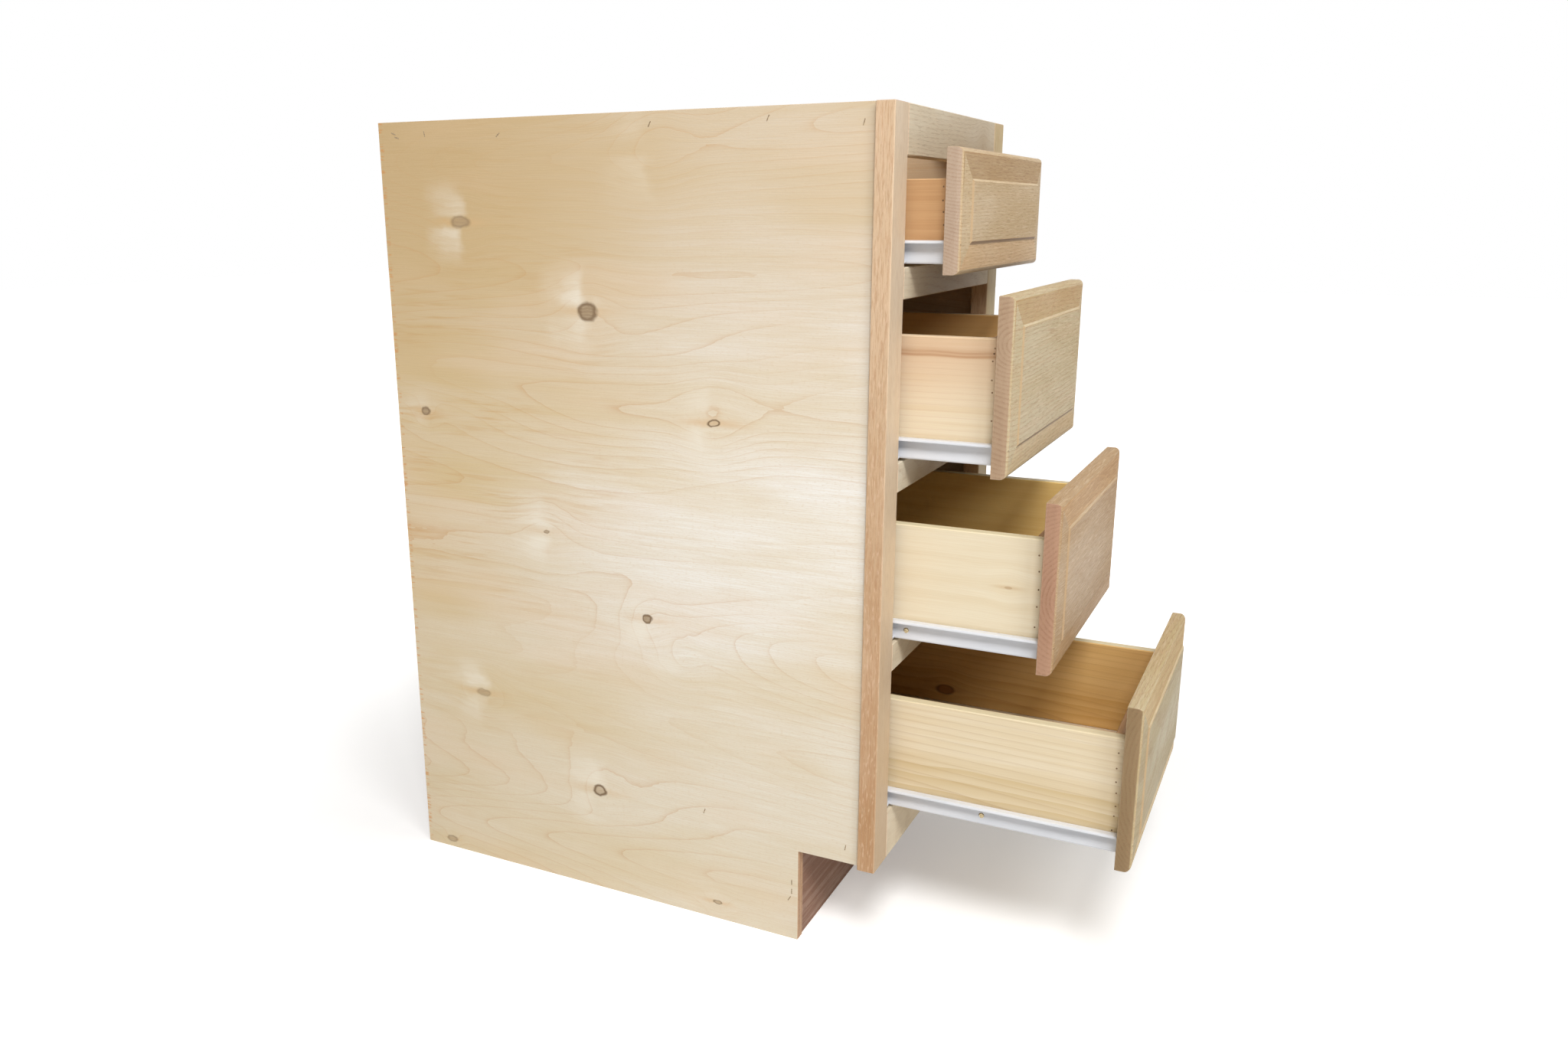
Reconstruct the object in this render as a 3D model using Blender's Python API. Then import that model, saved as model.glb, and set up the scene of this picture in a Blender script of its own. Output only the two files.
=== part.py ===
"""Four-drawer kitchen base cabinet with a face frame, in unfinished wood.

The carcass stands on the floor with its back to a wall. +X is to the right of someone
facing the cabinet, the front looks along -Y, and +Z is up. The origin is on the floor,
at the middle of the back. Each drawer hangs on a pair of roll-formed roller runners
and stands open by its own pull, as in the photograph.
"""

import math
from typing import NamedTuple

import bmesh
import bpy
from mathutils import Matrix, Vector

# Face frame
cabinet_width = 0.381
cabinet_depth = 0.60325
frame_thickness = 0.01905
stile_width = 0.0381
stile_foot_height = 0.1064
bottom_rail_height = 0.0543
drawer_rail_height = 0.0302
top_rail_height = 0.0462
large_opening_height = 0.159
small_opening_height = 0.102
small_opening_count = 1
tenon_length = 0.0095
tenon_thickness = 0.0065
tenon_shoulder = 0.006
edge_ease = 0.0008

# Side panels, floor, back and toe kick
frame_overhang = 0.00635
panel_thickness = 0.0127
panel_groove_depth = 0.003
toe_height = 0.1083
toe_depth = 0.0889
toe_board_setback = 0.0012
floor_thickness = 0.0127
floor_dado_depth = 0.004
back_thickness = 0.005
back_rabbet_depth = 0.00635

# Inner members
hanging_rail_height = 0.0762
hanging_rail_thickness = 0.01905
post_width = 0.0508
block_leg = 0.07
block_thickness = 0.0127
block_drop = 0.002

# Drawer fronts
front_thickness = 0.01905
front_overlap = 0.00635
front_round_radius = 0.00635
front_border = 0.028
border_fall = 0.0018
field_rise = 0.0016
field_slope_run = 0.0022

# Drawer boxes
side_clearance = 0.0127
box_rear_space = 0.06985
box_wall = 0.0127
box_bottom_thickness = 0.005
box_groove_depth = 0.006
box_bottom_height = 0.0095
large_box_headroom = 0.0345
small_box_headroom = 0.021
box_edge_ease = 0.001

# Roller runners
runner_steel = 0.0012
runner_bend_radius = 0.0006
runner_front_margin = 0.002
runner_rear_margin = 0.009
drawer_runner_margin = 0.001
drawer_runner_lift = 0.003
under_flange_width = 0.0125
channel_lift = 0.0036
channel_lip = 0.0015
flange_lip = 0.0015
roller_radius = 0.0075
roller_chamfer = 0.0007
roller_play = 0.0004
pin_head_radius = 0.0035
pin_head_thickness = 0.0006
pin_shoulder_radius = 0.004
channel_headroom = 0.0005
web_gap = 0.001
stop_drop = 0.004
rear_roller_margin = 0.0015
drawer_hole_radius = 0.003
drawer_hole_shares = (0.258, 0.68, 0.915)
screw_radius = 0.002
screw_length = 0.014

# Travel: the runner length still in the cabinet at the stop, and each drawer's pull here
runner_overlap = 0.1144
pull_of_drawer_1 = 0.039
pull_of_drawer_2 = 0.0935
pull_of_drawer_3 = 0.148
pull_of_drawer_4 = 0.236

# Fits and fineness
joint_gap = 0.0003
cut_overrun = 0.002
round_steps = 4
round_profile = 0.5
bend_steps = 2
roller_steps = 18
hole_steps = 10
crease_angle = math.radians(35)

# Places worked out from the sizes above
opening_width = cabinet_width - 2 * stile_width
half_opening = opening_width / 2
half_width = cabinet_width / 2
front_plane = -cabinet_depth
frame_back = front_plane + frame_thickness
side_outer = half_width - frame_overhang
side_inner = side_outer - panel_thickness
back_front = -back_thickness - joint_gap
hanging_rail_front = back_front - hanging_rail_thickness - joint_gap
post_back = hanging_rail_front - joint_gap
post_front = post_back - post_width
pulls = (pull_of_drawer_1, pull_of_drawer_2, pull_of_drawer_3, pull_of_drawer_4)
large_opening_count = len(pulls) - small_opening_count
drawer_rail_count = len(pulls) - 1
frame_bottom = stile_foot_height
floor_top = frame_bottom + bottom_rail_height
cabinet_height = (
    floor_top
    + large_opening_count * large_opening_height
    + small_opening_count * small_opening_height
    + drawer_rail_count * drawer_rail_height
    + top_rail_height
)
floor_underside = floor_top - floor_thickness
block_top = cabinet_height - block_drop
block_bottom = block_top - block_thickness

# Runner section, measured inwards from the side of the opening and up from its bottom
channel_web_outer = joint_gap
channel_web_inner = channel_web_outer + runner_steel
drawer_web_inner = side_clearance - joint_gap
drawer_web_outer = drawer_web_inner - runner_steel
channel_reach = drawer_web_outer - web_gap
flange_outer = channel_web_inner + web_gap
rear_roller_span = (
    channel_web_inner + pin_head_thickness + 2 * roller_play,
    channel_reach - runner_steel - roller_play,
)
front_roller_span = (
    flange_outer + runner_steel + roller_play,
    drawer_web_outer - pin_head_thickness - 2 * roller_play,
)
channel_floor = channel_lift + runner_steel
rear_roller_height = channel_floor + joint_gap + roller_radius
channel_ceiling = rear_roller_height + roller_radius + channel_headroom
channel_top = channel_ceiling + runner_steel
flange_underside = channel_top + channel_headroom + flange_lip
front_roller_height = flange_underside - joint_gap - roller_radius
box_lift = drawer_runner_lift + runner_steel + joint_gap

# Runner lengths, measured back from the front of the face frame
box_depth = cabinet_depth - box_rear_space
drawer_travel = box_depth - runner_overlap
front_roller_setback = frame_thickness + roller_radius
flange_notch_end = front_roller_setback + roller_radius + runner_steel
front_screw_setback = frame_thickness / 2
rear_screw_setback = (post_front + post_back) / 2 - front_plane
channel_end = rear_screw_setback + runner_rear_margin
rear_roller_setback = box_depth - roller_radius - rear_roller_margin
stop_edge = channel_ceiling - stop_drop
stop_reach = math.sqrt(roller_radius**2 - (stop_edge - rear_roller_height) ** 2)
stop_setback = rear_roller_setback - drawer_travel - stop_reach - joint_gap
screw_height = (channel_floor + channel_ceiling) / 2

# Colour, roughness and metallic value of each material
material_table = {
    "birch_plywood": ((0.78, 0.58, 0.36, 1.0), 0.55, 0.0),
    "oak": ((0.66, 0.47, 0.29, 1.0), 0.5, 0.0),
    "drawer_wood": ((0.80, 0.66, 0.42, 1.0), 0.5, 0.0),
    "hardboard": ((0.42, 0.27, 0.15, 1.0), 0.7, 0.0),
    "toe_board_wood": ((0.45, 0.25, 0.14, 1.0), 0.6, 0.0),
    "white_steel": ((0.86, 0.88, 0.90, 1.0), 0.3, 0.1),
}


class Drawer(NamedTuple):
    """One drawer's place in the frame and how far it is pulled out."""

    number: int
    opening_bottom: float
    opening_height: float
    box_height: float
    pull: float


def plan_drawers():
    """The drawers from the top one down."""
    plans = []
    opening_top = cabinet_height - top_rail_height
    for index, pull in enumerate(pulls):
        small = index < small_opening_count
        height = small_opening_height if small else large_opening_height
        headroom = small_box_headroom if small else large_box_headroom
        bottom = opening_top - height
        plans.append(Drawer(index + 1, bottom, height, height - box_lift - headroom, pull))
        opening_top = bottom - drawer_rail_height
    return plans


# Scene helpers


def clear_scene():
    for item in list(bpy.data.objects):
        bpy.data.objects.remove(item, do_unlink=True)


def make_materials():
    made = {}
    for name, (colour, roughness, metallic) in material_table.items():
        material = bpy.data.materials.new(name)
        material.use_nodes = True
        shader = material.node_tree.nodes["Principled BSDF"]
        shader.inputs["Base Color"].default_value = colour
        shader.inputs["Roughness"].default_value = roughness
        shader.inputs["Metallic"].default_value = metallic
        material.diffuse_color = colour
        made[name] = material
    return made


def add_empty(name, place):
    empty = bpy.data.objects.new(name, None)
    empty.location = place
    bpy.context.scene.collection.objects.link(empty)
    return empty


def temporary_object(bm):
    mesh = bpy.data.meshes.new("temporary")
    bm.to_mesh(mesh)
    bm.free()
    item = bpy.data.objects.new("temporary", mesh)
    bpy.context.scene.collection.objects.link(item)
    return item


def boolean(bm, other, operation):
    """The shape bm with the shapes in other cut out of it or united with it."""
    base = temporary_object(bm)
    tool = temporary_object(other)
    modifier = base.modifiers.new(operation.title(), "BOOLEAN")
    modifier.operation = operation
    modifier.object = tool
    graph = bpy.context.evaluated_depsgraph_get()
    mesh = bpy.data.meshes.new_from_object(base.evaluated_get(graph))
    result = bmesh.new()
    result.from_mesh(mesh)
    for item in (base, tool):
        old_mesh = item.data
        bpy.data.objects.remove(item)
        bpy.data.meshes.remove(old_mesh)
    bpy.data.meshes.remove(mesh)
    return result


def joined(shapes):
    """One bmesh that holds several shapes, each still its own closed body."""
    result = bmesh.new()
    for shape in shapes:
        mesh = bpy.data.meshes.new("temporary")
        shape.to_mesh(mesh)
        shape.free()
        result.from_mesh(mesh)
        bpy.data.meshes.remove(mesh)
    return result


def add_part(name, bm, material, parent, origin, smooth=False):
    """An object whose mesh is given in its parent's frame, with its own origin."""
    bmesh.ops.recalc_face_normals(bm, faces=bm.faces[:])
    bm.transform(Matrix.Translation(-Vector(origin)))
    mesh = bpy.data.meshes.new(name)
    bm.to_mesh(mesh)
    bm.free()
    if smooth:
        mesh.shade_smooth()
        mesh.set_sharp_from_angle(angle=crease_angle)
    mesh.materials.append(material)
    item = bpy.data.objects.new(name, mesh)
    item.parent = parent
    item.location = origin
    bpy.context.scene.collection.objects.link(item)
    return item


def add_pair(left_name, right_name, bm, material, parent, origin, smooth=False):
    """A left-hand piece, and the same piece mirrored to the other side of the cabinet."""
    other = bm.copy()
    bmesh.ops.scale(other, vec=(-1, 1, 1), verts=other.verts)
    x, y, z = origin
    add_part(left_name, bm, material, parent, origin, smooth)
    add_part(right_name, other, material, parent, (-x, y, z), smooth)


# Shape helpers


def box(low, high, ease=0.0):
    """A box between two corners, with its edges eased if asked."""
    low = Vector(low)
    high = Vector(high)
    bm = bmesh.new()
    bmesh.ops.create_cube(bm, size=1.0)
    bmesh.ops.scale(bm, vec=high - low, verts=bm.verts)
    bmesh.ops.translate(bm, vec=(low + high) / 2, verts=bm.verts)
    if ease:
        bmesh.ops.bevel(bm, geom=bm.edges[:], offset=ease, segments=1, affect="EDGES")
    return bm


def middle_of(low, high):
    return (Vector(low) + Vector(high)) / 2


def extruded(points, direction):
    """A closed outline of 3-D points, swept along a straight direction."""
    bm = bmesh.new()
    face = bm.faces.new([bm.verts.new(point) for point in points])
    swept = bmesh.ops.extrude_face_region(bm, geom=[face])
    moved = [item for item in swept["geom"] if isinstance(item, bmesh.types.BMVert)]
    bmesh.ops.translate(bm, vec=direction, verts=moved)
    bmesh.ops.recalc_face_normals(bm, faces=bm.faces[:])
    return bm


def turned(profile, steps, height, depth):
    """A profile of (x, radius) points turned about a line along X at (depth, height)."""
    bm = bmesh.new()
    rings = []
    for x, radius in profile:
        if radius == 0:
            rings.append([bm.verts.new((x, depth, height))])
            continue
        ring = []
        for step in range(steps):
            angle = math.tau * step / steps
            y = depth + radius * math.cos(angle)
            z = height + radius * math.sin(angle)
            ring.append(bm.verts.new((x, y, z)))
        rings.append(ring)
    following = rings[1:] if profile[0][1] == 0 else rings[1:] + rings[:1]
    for ring, next_ring in zip(rings, following):
        for step in range(steps):
            other = (step + 1) % steps
            corners = [
                ring[step % len(ring)],
                ring[other % len(ring)],
                next_ring[other % len(next_ring)],
                next_ring[step % len(next_ring)],
            ]
            bm.faces.new(list(dict.fromkeys(corners)))
    bmesh.ops.recalc_face_normals(bm, faces=bm.faces[:])
    return bm


def cylinder(start, end, radius, steps, height, depth):
    return turned([(start, 0), (start, radius), (end, radius), (end, 0)], steps, height, depth)


def folded_sheet(path, thickness, bend_radius, steps):
    """The outline of a folded sheet whose middle line follows the path in X and Z."""
    path = [Vector(point) for point in path]
    middle_radius = bend_radius + thickness / 2
    line = [(path[0], (path[1] - path[0]).normalized())]
    for before, corner, after in zip(path, path[1:], path[2:]):
        first = (corner - before).normalized()
        second = (after - corner).normalized()
        turn = first.angle_signed(second)
        side = math.copysign(1, turn)
        start = corner - first * middle_radius * math.tan(abs(turn) / 2)
        towards_centre = Vector((first.y, -first.x)) * side
        centre = start + towards_centre * middle_radius
        for step in range(steps + 1):
            rotation = Matrix.Rotation(-turn * step / steps, 2)
            direction = rotation @ first
            line.append((centre - rotation @ towards_centre * middle_radius, direction))
    line.append((path[-1], (path[-1] - path[-2]).normalized()))
    half = thickness / 2
    left = [point + Vector((-run.y, run.x)) * half for point, run in line]
    right = [point - Vector((-run.y, run.x)) * half for point, run in line]
    return left + right[::-1]


def sheet_run(path, start, end):
    """A folded steel sheet that runs from start to end along Y."""
    outline = folded_sheet(path, runner_steel, runner_bend_radius, bend_steps)
    points = [(point.x, start, point.y) for point in outline]
    return extruded(points, (0, end - start, 0))


# Face frame


def mortises(drawers):
    """The cuts that take the rail tenons in the inner edge of the left stile."""
    cuts = []
    for bottom, top in rail_spans(drawers):
        low, high = tenon_corners(bottom, top, -1)
        grow = Vector((joint_gap, joint_gap, joint_gap))
        cuts.append(box(Vector(low) - grow, Vector(high) + grow + Vector((cut_overrun, 0, 0))))
    return cuts


def rail_spans(drawers):
    """The bottom and top of each rail, from the lowest rail to the top one."""
    spans = [(frame_bottom, floor_top)]
    for drawer in reversed(drawers[1:]):
        bottom = drawer.opening_bottom + drawer.opening_height
        spans.append((bottom, bottom + drawer_rail_height))
    spans.append((cabinet_height - top_rail_height, cabinet_height))
    return spans


def tenon_corners(bottom, top, side):
    """The corners of a rail's tenon on one side, from inside the rail outwards."""
    middle = front_plane + frame_thickness / 2
    inner = half_opening - cut_overrun
    outer = half_opening + tenon_length
    near, far = sorted((side * inner, side * outer))
    low = (near, middle - tenon_thickness / 2, bottom + tenon_shoulder)
    high = (far, middle + tenon_thickness / 2, top - tenon_shoulder)
    return low, high


def screw_pilots(drawers, setback):
    """Pilot holes for the runner screws, in wood whose face is the left of the opening."""
    radius = screw_radius + joint_gap
    depth = screw_length + joint_gap
    cuts = []
    for drawer in drawers:
        height = drawer.opening_bottom + screw_height
        start = -half_opening - depth
        end = -half_opening + cut_overrun
        cuts.append(cylinder(start, end, radius, hole_steps, height, front_plane + setback))
    return cuts


def add_stiles(drawers, materials):
    """The two uprights, grooved behind for the side panels and mortised for the rails."""
    low = (-half_width, front_plane, frame_bottom)
    high = (-half_opening, frame_back, cabinet_height)
    groove = box(
        (-side_outer - joint_gap, frame_back - panel_groove_depth, frame_bottom - cut_overrun),
        (-side_inner + joint_gap, frame_back + cut_overrun, cabinet_height + cut_overrun),
    )
    cuts = joined([groove, *mortises(drawers), *screw_pilots(drawers, front_screw_setback)])
    left = boolean(box(low, high, edge_ease), cuts, "DIFFERENCE")
    add_pair("left_stile", "right_stile", left, materials["oak"], None, middle_of(low, high))


def add_rails(drawers, materials):
    """The five rails, each tenoned into both stiles."""
    names = ("bottom_rail", "lower_drawer_rail", "middle_drawer_rail", "upper_drawer_rail", "top_rail")
    half_rail = half_opening - joint_gap
    for name, (bottom, top) in zip(names, rail_spans(drawers)):
        low = (-half_rail, front_plane, bottom)
        high = (half_rail, frame_back, top)
        rail = box(low, high, edge_ease)
        tenons = joined([box(*tenon_corners(bottom, top, side)) for side in (-1, 1)])
        rail = boolean(rail, tenons, "UNION")
        add_part(name, rail, materials["oak"], None, middle_of(low, high))


# Carcass


def add_side_panels(materials):
    """Plywood sides: notched for the toe space, dadoed for the floor, rabbeted for the back."""
    front = frame_back - panel_groove_depth + joint_gap
    toe_front = front_plane + toe_depth
    outline = (
        (0, 0),
        (0, cabinet_height),
        (front, cabinet_height),
        (front, toe_height),
        (toe_front, toe_height),
        (toe_front, 0),
    )
    left = extruded([(-side_outer, y, z) for y, z in outline], (panel_thickness, 0, 0))
    dado = box(
        (-side_inner - floor_dado_depth, frame_back + joint_gap, floor_underside - joint_gap),
        (-side_inner + cut_overrun, back_front, floor_top + joint_gap),
    )
    rabbet = box(
        (-side_inner - back_rabbet_depth, back_front, -cut_overrun),
        (-side_inner + cut_overrun, cut_overrun, cabinet_height + cut_overrun),
    )
    left = boolean(left, rabbet, "DIFFERENCE")
    left = boolean(left, dado, "DIFFERENCE")
    middle = middle_of((-side_outer, front, 0), (-side_inner, 0, cabinet_height))
    birch = materials["birch_plywood"]
    add_pair("left_side_panel", "right_side_panel", left, birch, None, middle)


def add_board(name, low, high, material, parent=None, ease=0.0):
    return add_part(name, box(low, high, ease), material, parent, middle_of(low, high))


def add_carcass_boards(materials):
    """The floor, back, toe board, hanging rail and rear posts."""
    half_floor = side_inner + floor_dado_depth - joint_gap
    add_board(
        "cabinet_floor",
        (-half_floor, frame_back + 2 * joint_gap, floor_underside),
        (half_floor, back_front - joint_gap, floor_top),
        materials["birch_plywood"],
    )
    half_back = side_inner + back_rabbet_depth - joint_gap
    add_board(
        "back_panel",
        (-half_back, -back_thickness, 0),
        (half_back, 0, cabinet_height),
        materials["hardboard"],
    )
    half_inside = side_inner - joint_gap
    toe_face = front_plane + toe_depth + toe_board_setback
    add_board(
        "toe_kick_board",
        (-half_inside, toe_face, 0),
        (half_inside, toe_face + panel_thickness, floor_underside - joint_gap),
        materials["toe_board_wood"],
    )
    add_board(
        "hanging_rail",
        (-half_inside, hanging_rail_front, cabinet_height - hanging_rail_height),
        (half_inside, back_front, cabinet_height),
        materials["drawer_wood"],
        ease=edge_ease,
    )


def add_rear_posts(drawers, materials):
    """Uprights at the back, flush with the sides of the openings, that hold the runners."""
    low = (-side_inner + joint_gap, post_front, floor_top + joint_gap)
    high = (-half_opening, post_back, block_bottom - joint_gap)
    pilots = joined(screw_pilots(drawers, rear_screw_setback))
    left = boolean(box(low, high, edge_ease), pilots, "DIFFERENCE")
    wood = materials["drawer_wood"]
    add_pair("left_rear_post", "right_rear_post", left, wood, None, middle_of(low, high))


def add_corner_blocks(materials):
    """Four triangular plywood gussets that square up the open top."""
    corner_x = -side_inner + joint_gap
    for end, corner_y, along in (("front", frame_back + joint_gap, 1), ("rear", post_back, -1)):
        corner = (corner_x, corner_y, block_bottom)
        triangle = (
            corner,
            (corner_x + block_leg, corner_y, block_bottom),
            (corner_x, corner_y + along * block_leg, block_bottom),
        )
        block = extruded(triangle, (0, 0, block_thickness))
        names = (f"left_{end}_corner_block", f"right_{end}_corner_block")
        add_pair(*names, block, materials["birch_plywood"], None, corner)


# Runners, each with its nylon roller riveted on


def riveted_roller(root, near, far, setback, height):
    """A roller on its pin, in one piece: from the pin's root in the web to its outer head."""
    towards_tip = math.copysign(1, far - near)
    head = far + towards_tip * pin_head_thickness
    chamfer = towards_tip * roller_chamfer
    profile = (
        (root, 0),
        (root, pin_shoulder_radius),
        (near, pin_shoulder_radius),
        (near, roller_radius - roller_chamfer),
        (near + chamfer, roller_radius),
        (far - chamfer, roller_radius),
        (far, roller_radius - roller_chamfer),
        (far, pin_head_radius),
        (head, pin_head_radius),
        (head, 0),
    )
    return turned(profile, roller_steps, height, setback)


def cabinet_runner():
    """The channel fixed to the left of an opening, with its front roller, stop and screw holes."""
    edge = -half_opening
    half_steel = runner_steel / 2
    web = edge + channel_web_outer + half_steel
    reach = edge + channel_reach - half_steel
    base = channel_lift + half_steel
    ceiling = channel_top - half_steel
    path = (
        (reach, channel_floor + channel_lip),
        (reach, base),
        (web, base),
        (web, ceiling),
        (reach, ceiling),
    )
    channel = sheet_run(path, runner_front_margin, channel_end)
    notch = box(
        (web + runner_steel, -cut_overrun, channel_ceiling - cut_overrun),
        (edge + side_clearance, flange_notch_end, channel_top + cut_overrun),
    )
    holes = []
    for setback in (front_screw_setback, rear_screw_setback):
        start = edge - cut_overrun
        end = edge + channel_web_inner + cut_overrun
        radius = screw_radius + joint_gap
        holes.append(cylinder(start, end, radius, hole_steps, screw_height, setback))
    channel = boolean(channel, joined([notch, *holes]), "DIFFERENCE")
    near, far = (edge + place for place in front_roller_span)
    roller = riveted_roller(web, near, far, front_roller_setback, front_roller_height)
    stop = box(
        (web, stop_setback - runner_steel, stop_edge),
        (reach - runner_steel, stop_setback, ceiling),
    )
    return boolean(channel, joined([roller, stop]), "UNION")


def drawer_runner():
    """The member under a drawer's left side, with its rear roller and its screw holes."""
    edge = -half_opening
    half_steel = runner_steel / 2
    web = edge + drawer_web_outer + half_steel
    base = drawer_runner_lift + half_steel
    top = flange_underside + half_steel
    outer = edge + flange_outer + half_steel
    path = (
        (edge + drawer_web_inner + under_flange_width, base),
        (web, base),
        (web, top),
        (outer, top),
        (outer, flange_underside - flange_lip),
    )
    member = sheet_run(path, drawer_runner_margin, box_depth)
    web_middle = (drawer_runner_lift + flange_underside) / 2
    holes = []
    for share in drawer_hole_shares:
        start = edge + drawer_web_outer - cut_overrun
        end = edge + drawer_web_inner + cut_overrun
        setback = share * box_depth
        holes.append(cylinder(start, end, drawer_hole_radius, hole_steps, web_middle, setback))
    member = boolean(member, joined(holes), "DIFFERENCE")
    far, near = (edge + place for place in rear_roller_span)
    roller = riveted_roller(web, near, far, rear_roller_setback, rear_roller_height)
    return boolean(member, roller, "UNION")


def add_cabinet_runners(drawers, materials):
    """A left and a right channel in each opening."""
    channel = cabinet_runner()
    for drawer in drawers:
        place = (0, front_plane, drawer.opening_bottom)
        opening = add_empty(f"opening_{drawer.number}", place)
        names = (f"left_cabinet_runner_{drawer.number}", f"right_cabinet_runner_{drawer.number}")
        add_pair(*names, channel.copy(), materials["white_steel"], opening, (-half_opening, 0, 0), True)


# Drawers


def drawer_front(height, bottom):
    """A solid slab: rounded over at its front edges, with a raised field inside a border that slopes down to them."""
    half = half_opening + front_overlap
    outer_plane = -(front_thickness - field_rise - border_fall)
    bm = box((-half, outer_plane, bottom), (half, -joint_gap, bottom + height))
    bm.faces.ensure_lookup_table()
    front = min(bm.faces, key=lambda face: face.calc_center_median().y)
    bmesh.ops.bevel(
        bm,
        geom=list(front.edges),
        offset=front_round_radius,
        segments=round_steps,
        profile=round_profile,
        affect="EDGES",
    )
    front = min(bm.faces, key=lambda face: face.calc_center_median().y)
    bmesh.ops.inset_region(bm, faces=[front], thickness=front_border - front_round_radius)
    bmesh.ops.translate(bm, vec=(0, -border_fall, 0), verts=list(front.verts))
    bmesh.ops.inset_region(bm, faces=[front], thickness=field_slope_run)
    bmesh.ops.translate(bm, vec=(0, -field_rise, 0), verts=list(front.verts))
    return bm


def add_drawer_box(drawer, materials, body):
    """Sides that run past the box front and back, grooved all round for the bottom."""
    prefix = f"drawer_{drawer.number}"
    wood = materials["drawer_wood"]
    outer = half_opening - side_clearance
    inner = outer - box_wall
    top = box_lift + drawer.box_height
    groove_low = box_lift + box_bottom_height
    groove_high = groove_low + box_bottom_thickness
    inset = box_groove_depth - joint_gap
    groove = (
        (-inner - box_groove_depth, -cut_overrun, groove_low - joint_gap),
        (inner + box_groove_depth, box_depth + cut_overrun, groove_high + joint_gap),
    )
    for name, sign in (("left_side", -1), ("right_side", 1)):
        near, far = sorted((sign * inner, sign * outer))
        low = (near, 0, box_lift)
        high = (far, box_depth, top)
        side = boolean(box(low, high, box_edge_ease), box(*groove), "DIFFERENCE")
        add_part(f"{prefix}_{name}", side, wood, body, middle_of(low, high))
    low = (-inner + joint_gap, 0, box_lift)
    high = (inner - joint_gap, box_wall, top)
    front_groove = box(
        (-outer, box_wall - box_groove_depth, groove_low - joint_gap),
        (outer, box_wall + cut_overrun, groove_high + joint_gap),
    )
    box_front = boolean(box(low, high, box_edge_ease), front_groove, "DIFFERENCE")
    add_part(f"{prefix}_box_front", box_front, wood, body, middle_of(low, high))
    low = (-inner + joint_gap, box_depth - box_wall, groove_high + joint_gap)
    high = (inner - joint_gap, box_depth, top)
    add_board(f"{prefix}_box_back", low, high, wood, body, box_edge_ease)
    low = (-inner - inset, box_wall - inset, groove_low)
    high = (inner + inset, box_depth, groove_high)
    add_board(f"{prefix}_bottom", low, high, wood, body)


def add_drawer(drawer, member, materials):
    """One drawer on its own empty, which lies on the line that the drawer slides along."""
    place = (0, front_plane - drawer.pull, drawer.opening_bottom)
    body = add_empty(f"drawer_{drawer.number}_slide_line", place)
    prefix = f"drawer_{drawer.number}"
    height = drawer.opening_height + 2 * front_overlap
    slab = drawer_front(height, -front_overlap)
    add_part(f"{prefix}_front", slab, materials["oak"], body, (0, -front_thickness / 2, height / 2))
    add_drawer_box(drawer, materials, body)
    names = (f"{prefix}_left_runner", f"{prefix}_right_runner")
    add_pair(*names, member.copy(), materials["white_steel"], body, (-half_opening, 0, 0), True)


def main():
    clear_scene()
    materials = make_materials()
    drawers = plan_drawers()
    add_stiles(drawers, materials)
    add_rails(drawers, materials)
    add_side_panels(materials)
    add_carcass_boards(materials)
    add_rear_posts(drawers, materials)
    add_corner_blocks(materials)
    add_cabinet_runners(drawers, materials)
    member = drawer_runner()
    for drawer in drawers:
        add_drawer(drawer, member, materials)


main()
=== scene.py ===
import math

import bmesh
import bpy
from mathutils import Matrix, Vector


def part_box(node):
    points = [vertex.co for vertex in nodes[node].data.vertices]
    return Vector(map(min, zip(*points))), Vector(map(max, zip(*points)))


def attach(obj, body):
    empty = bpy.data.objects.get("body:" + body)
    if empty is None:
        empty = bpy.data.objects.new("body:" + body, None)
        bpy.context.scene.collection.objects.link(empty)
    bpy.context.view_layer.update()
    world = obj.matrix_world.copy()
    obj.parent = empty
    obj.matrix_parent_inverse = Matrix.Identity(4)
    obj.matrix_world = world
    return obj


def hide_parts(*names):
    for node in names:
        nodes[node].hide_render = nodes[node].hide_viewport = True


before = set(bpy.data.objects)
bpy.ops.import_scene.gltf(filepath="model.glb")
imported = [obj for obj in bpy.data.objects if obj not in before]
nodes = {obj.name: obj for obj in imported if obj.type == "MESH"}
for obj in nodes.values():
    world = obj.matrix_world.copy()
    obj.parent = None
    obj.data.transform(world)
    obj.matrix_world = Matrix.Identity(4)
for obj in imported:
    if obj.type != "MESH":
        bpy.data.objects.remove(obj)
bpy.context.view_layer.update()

# Sizes shared by the pieces, in metres
front_plane = -0.60325
side_face = 0.18415
board_thickness = 0.0127
floor_top = 0.1607
block_top = 0.8745
box_half_width = 0.1397
box_depth = 0.5334
runner_face = 0.14002
runner_web = 0.1412
channel_web = 0.1509
screw_height = 0.0127
opening_bottoms = {1: 0.7283, 2: 0.5391, 3: 0.3499, 4: floor_top}
pulls = {1: 0.039, 2: 0.0935, 3: 0.148, 4: 0.236}
box_tops = {1: 0.8093, 2: 0.6636, 3: 0.4744, 4: 0.2852}
drawer_screw_shares = (0.258, 0.68, 0.915)
rear_screw_setback = 0.55285
front_screw_setback = 0.009525
roller_radius = 0.0075
channel_roller_setback, channel_roller_height = 0.02655, 0.016
slide_roller_setback, slide_roller_height = 0.009, 0.0126
front_pin_setback, rear_pin_setback = 0.0066, 0.0064
board_easing = 0.0004
front_easing = 0.0005
hairline = 0.00001

# The profile of a drawer front, as in the part
front_round = 0.00635
front_border = 0.028
border_fall = 0.0018
field_rise = 0.0016
field_slope_run = 0.0022


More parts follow.
